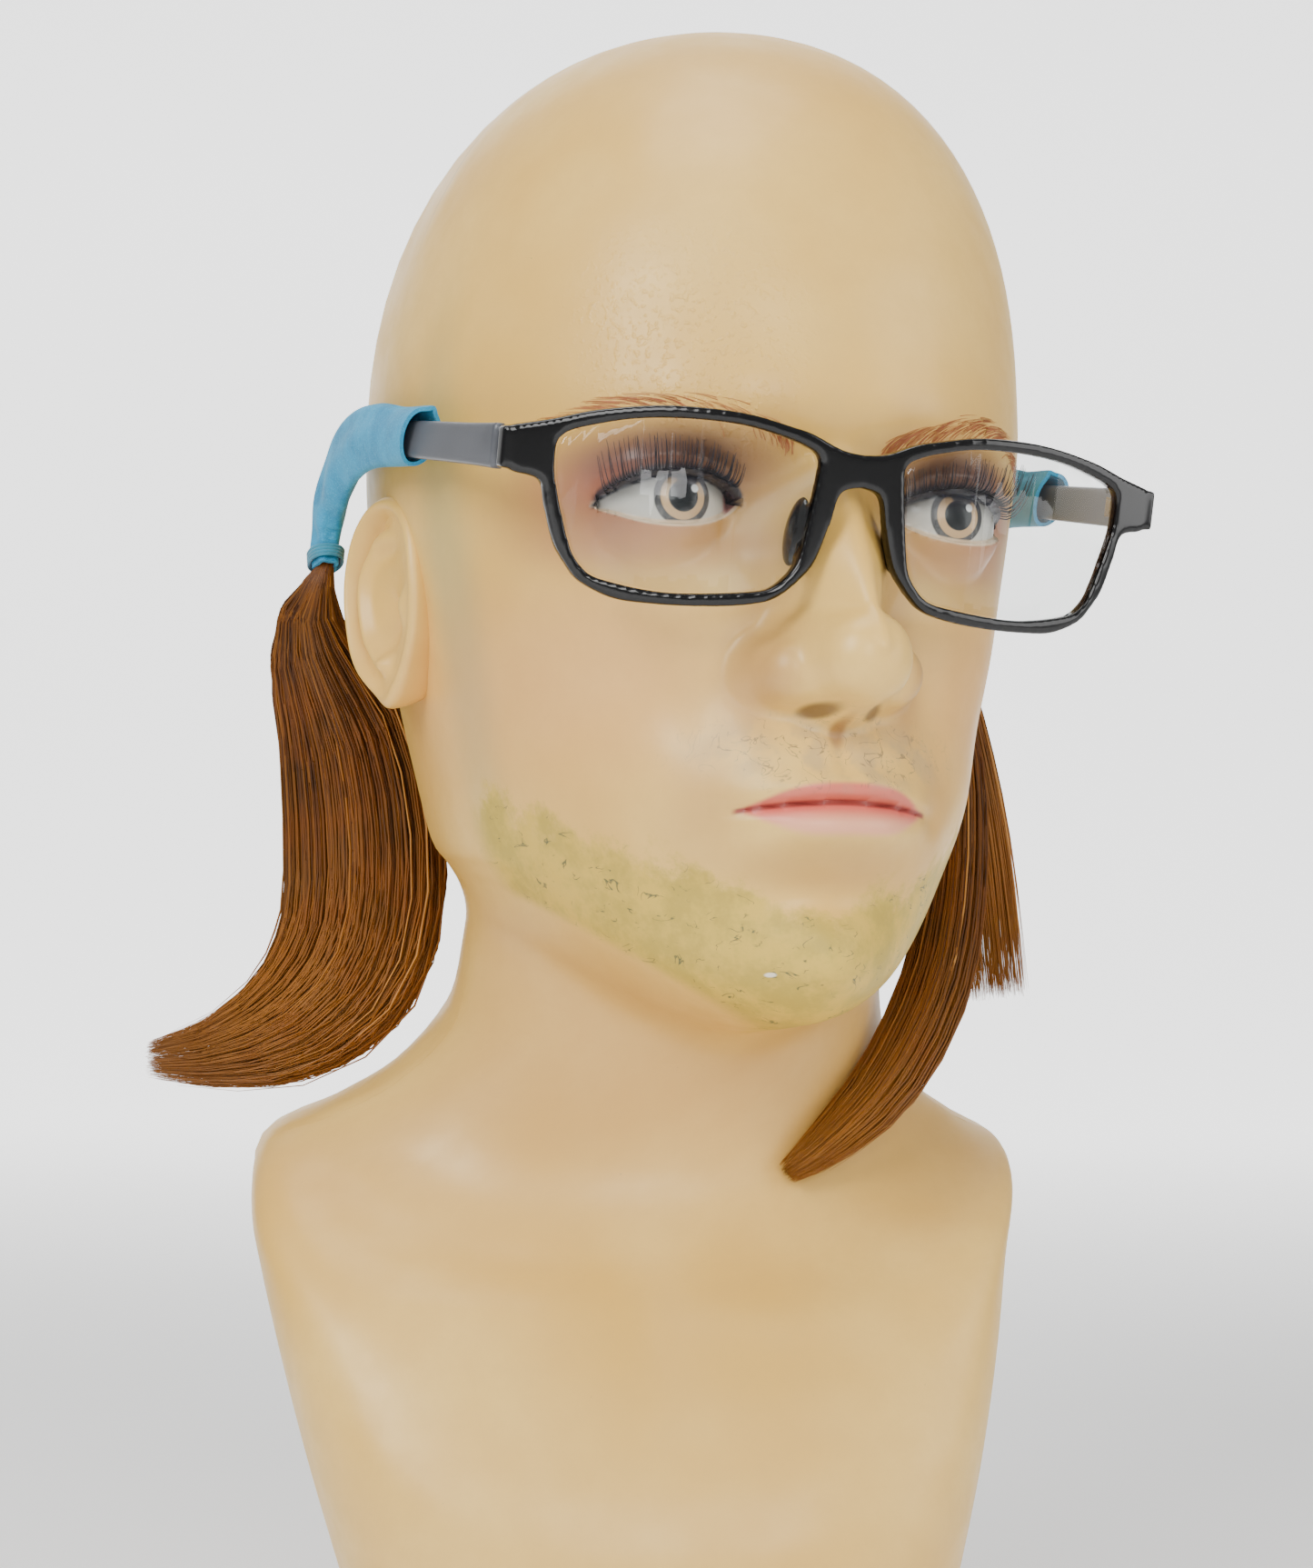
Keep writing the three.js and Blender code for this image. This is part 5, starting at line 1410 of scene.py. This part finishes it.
class Hardware:
    """The pieces of the base and the joints that keep the frame's own shapes."""

    FINISHES = {
        "board": ("base_board",),
        "steel": ("clamp_socket",
                  *(f"{part}_{side.word}" for side in Side
                    for part in ("front_hinge_leaf", "temple_hinge_leaf", "hinge_screw")),
                  *(f"socket_screw_{i}" for i in range(1, 5)), *(f"rim_screw_{i}" for i in range(1, 7))),
        "rubber": tuple(f"foot_{i}" for i in range(1, 5)),
        "tape": ("seam_tape",),
    }

    def __init__(self, materials: dict[str, bpy.types.Material]) -> None:
        """Give every carried-over node its finish."""
        for finish, nodes in self.FINISHES.items():
            for node in nodes:
                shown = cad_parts[node]
                for slot in shown.material_slots:
                    slot.material = materials[finish]
                LOG.info("%s: frame shape with %s finish", node, finish)


class Studio:
    """A pale floor, soft lights and the camera."""

    # Each panel's name, place, width, power and the height that it is aimed at.
    PANELS = (
        ("key", (-0.85, -1.05, 1.0), 0.55, 19, 0.25),
        ("front", (0.25, -1.5, 0.75), 0.6, 12, 0.22),
        ("fill", (1.25, -0.55, 0.6), 0.7, 7, 0.25),
        ("top", (-0.05, -0.1, 1.45), 0.6, 8, 0.3),
    )
    FOCAL_LENGTH = 59.9
    CAMERA_FROM_EYES = (-58.0, -549.6, -79.3)
    YAW, PITCH, ROLL = math.radians(4.7), math.radians(1.9), math.radians(-0.95)
    FLOOR_FLAT_TO = 1.6

    def __init__(self, form: Form) -> None:
        """Build the set round the bust."""
        self._floor()
        self._world()
        for panel in self.PANELS:
            self._light(*panel)
        self._camera(form)

    def _floor(self) -> None:
        """A wide pale floor under the feet, turned up far behind them, where it glows white behind the bust
        as a backdrop.
        """
        bm = bmesh.new()
        bmesh.ops.create_grid(bm, x_segments=8, y_segments=120, size=6)
        for vert in bm.verts:
            beyond = max(0.0, vert.co.y - self.FLOOR_FLAT_TO)
            turn = min(beyond, math.pi / 2)
            vert.co.y += math.sin(turn) - beyond
            vert.co.z += 1 - math.cos(turn) + max(0.0, beyond - math.pi / 2)
        floor = finish_mesh("floor", bm)
        material, tree, shader = new_material("pale_floor")
        drift = tree.ramp(tree.noise(tree.place(), 3, 2), 0.3, 0.7)
        tree.feed(shader.inputs["Base Color"], tree.mix(drift, colour("F6F6F5"), colour("FAFAFA")))
        tree.feed(shader.inputs["Emission Color"], colour("FFFFFF"))
        aside, back, _ = tree.parts(tree.place())
        middle = tree.ramp(tree.size(aside), 1.6, 1.1)
        glow = tree.times(middle, tree.ramp(back, 0.3, 1.7, 0, 1.6))
        tree.feed(shader.inputs["Emission Strength"], glow)
        shader.inputs["Roughness"].default_value = 0.9
        floor.data.materials.append(material)

    @staticmethod
    def _world() -> None:
        """An even white surround."""
        world = bpy.data.worlds.new("studio")
        bpy.context.scene.world = world
        world.use_nodes = True
        background = world.node_tree.nodes["Background"]
        background.inputs["Color"].default_value = (1, 1, 1, 1)
        background.inputs["Strength"].default_value = 0.42

    @staticmethod
    def _light(name: str, place: tuple[float, float, float], size: float, power: float, aim: float) -> None:
        """One soft panel aimed at the bust."""
        data = bpy.data.lights.new(name, "AREA")
        data.shape = "RECTANGLE"
        data.size, data.size_y = size, size * 1.4
        data.energy = power
        light = bpy.data.objects.new(name, data)
        light.location = place
        light.rotation_euler = (Vector((0, 0, aim)) - Vector(place)).to_track_quat("-Z", "Y").to_euler()
        bpy.context.scene.collection.objects.link(light)

    def _camera(self, form: Form) -> None:
        """The camera, turned and tilted as it was fitted to the view."""
        data = bpy.data.cameras.new("camera")
        data.lens = self.FOCAL_LENGTH
        camera = bpy.data.objects.new("camera", data)
        place = np.array(self.CAMERA_FROM_EYES) + (form.lean + form.chest_lean[0], 0, 0) + form.origin
        camera.location = Vector(place * MM)
        rotation = Matrix.Rotation(-self.YAW, 3, "Z") @ Matrix.Rotation(math.radians(90) + self.PITCH, 3, "X")
        rotation = rotation @ Matrix.Rotation(-self.ROLL, 3, "Z")
        camera.rotation_euler = rotation.to_euler()
        bpy.context.scene.collection.objects.link(camera)
        bpy.context.scene.camera = camera


def hair_material(effects: Effects) -> bpy.types.Material:
    """Chestnut hair with painted shade darkening the strands inside the hank, golden at its ends, with a few
    pale strands.
    """
    material, tree, shader = new_material("chestnut_hair")
    along, tone, _ = tree.parts(tree.stored("own"))
    base = tree.mix(tone, colour("331A06"), colour("74450F"))
    ends = tree.ramp(along, 0.45, 1.0)
    base = tree.mix(tree.times(ends, 0.55), base, colour("B07026"))
    roots = tree.ramp(along, 0.14, 0.0)
    base = tree.mix(tree.times(roots, 0.5), base, colour("3E1A08"))
    pale = tree.ramp(tone, 0.965, 0.985)
    base = tree.mix(tree.times(pale, 0.6), base, colour("C98F4C"))
    streak = tree.noise(tree.place(), 90, 3)
    base = tree.mix(tree.ramp(streak, 0.35, 0.7, 0, 0.35), base, colour("7A400C"))
    tree.feed(shader.inputs["Base Color"], base)
    shader.inputs["Roughness"].default_value = 0.42
    shader.inputs["Specular IOR Level"].default_value = 0.3
    height = tree.group(effects.grain, tree.place(), 700, 3000, 0.4).outputs[0]
    tree.feed(shader.inputs["Normal"], tree.bumped(height, 0.00005))
    return material


def lens_material(effects: Effects) -> bpy.types.Material:
    """A clear lens with a slight grey tint, mirror-like at a glancing view, with a little dust."""
    material, tree, shader = new_material("clear_lens")
    clear = tree.add("ShaderNodeBsdfTransparent")
    dust = tree.group(effects.speckle, tree.place(), 900, 0.2).outputs[0]
    tint = tree.mix(tree.times(dust, 0.5), (0.955, 0.965, 0.96, 1), (0.88, 0.89, 0.88, 1))
    tree.feed(clear.inputs[0], tint)
    mirror = tree.add("ShaderNodeBsdfGlossy")
    smear = tree.noise(tree.place(), 60, 3)
    tree.feed(mirror.inputs["Roughness"], tree.ramp(smear, 0.3, 0.8, 0.02, 0.06))
    facing = tree.add("ShaderNodeLayerWeight").outputs["Facing"]
    grazing = tree.math("MULTIPLY_ADD", tree.math("POWER", facing, 3), 0.5, 0.035)
    outer = tree.less(1, tree.add("ShaderNodeNewGeometry").outputs["Backfacing"])
    both = tree.add("ShaderNodeMixShader")
    tree.feed(both.inputs[0], tree.times(grazing, outer))
    tree.feed(both.inputs[1], clear.outputs[0])
    tree.feed(both.inputs[2], mirror.outputs[0])
    output = material.node_tree.nodes["Material Output"]
    material.node_tree.nodes.remove(shader)
    tree.feed(output.inputs["Surface"], both.outputs[0])
    return material


def cloth_material(effects: Effects) -> bpy.types.Material:
    """Soft sky-blue felt: matted fibres, a little pilling and a pale fuzz at its edges."""
    material, tree, shader = new_material("sky_blue_felt")
    place = tree.place()
    fibres = tree.noise(tree.stretched(place, (1, 1, 1.6)), 1400, 4, 0.7, 1.5)
    blotch = tree.ramp(tree.noise(place, 120, 3), 0.35, 0.65)
    base = tree.mix(blotch, colour("0E76A0"), colour("1F8AB4"))
    base = tree.mix(tree.ramp(fibres, 0.45, 0.7, 0, 0.5), base, colour("52B6D8"))
    tree.feed(shader.inputs["Base Color"], base)
    shader.inputs["Roughness"].default_value = 0.92
    shader.inputs["Sheen Weight"].default_value = 0.25
    shader.inputs["Sheen Roughness"].default_value = 0.4
    tree.feed(shader.inputs["Sheen Tint"], colour("BFE6F2"))
    matted = tree.group(effects.grain, place, 420, 2400, 0.6).outputs[0]
    tree.feed(shader.inputs["Normal"], tree.bumped(matted, 0.00016))
    return material


PLAIN = {
    "brow": PlainFinish("brow_strokes", "A0572E", "BE7A4C", 0.6),
    "lash": PlainFinish("lash_hair", "10131F", "1B2030", 0.45),
    "gloss": PlainFinish("gloss_black_plastic", "020203", "040405", 0.1, drift_scale=30,
                         grain=(120, 2600, 0.2), depth=0.000004),
    "satin": PlainFinish("satin_grey_plastic", "484A4F", "57595E", 0.34, stretch=(1, 0.25, 1),
                         grain=(500, 3500, 0.8), depth=0.00002),
    "elastic": PlainFinish("teal_elastic", "1D6478", "27809A", 0.8, grain=(900, 3000, 0.8),
                           depth=0.00012, sheen=0.3),
    "board": PlainFinish("particle_board", "A98456", "C7A271", 0.75, drift_scale=420, stretch=(1, 1, 0.6),
                         grain=(500, 2600, 0.8), depth=0.0002),
    "steel": PlainFinish("zinc_steel", "A9ACB0", "C4C6C9", 0.32, metallic=1.0, drift_scale=200,
                         grain=(200, 3000, 0.4)),
    "rubber": PlainFinish("black_rubber", "161616", "242424", 0.85, grain=(700, 3000, 0.7), depth=0.00008),
    "tape": PlainFinish("glass_mat_tape", "B9AC7E", "D3C9A2", 0.6, drift_scale=300, stretch=(0.5, 2, 2),
                        grain=(700, 2600, 0.8), depth=0.0002),
}


def main() -> None:
    """Build the bust, the glasses, the sleeves, the hair and the set."""
    logging.basicConfig(level=logging.INFO, format="%(name)s %(message)s")
    effects = Effects()
    materials = {key: finish.build(effects) for key, finish in PLAIN.items()}
    form = Form()
    skin = SkinFinish(effects).material
    Moulding(form, skin)
    for side in Side:
        Ear(form, side, skin)
    BrowsAndLashes(form, materials["brow"], materials["lash"])
    glass = lens_material(effects)
    glasses = Spectacles(form, SpectacleShape(), materials["gloss"], materials["satin"], glass)
    Sleeves(glasses, cloth_material(effects), materials["elastic"])
    hair = hair_material(effects)
    for shape in HANKS:
        Hair(glasses, shape, hair)
    Hardware(materials)
    Studio(form)


if __name__ == "__main__":
    main()
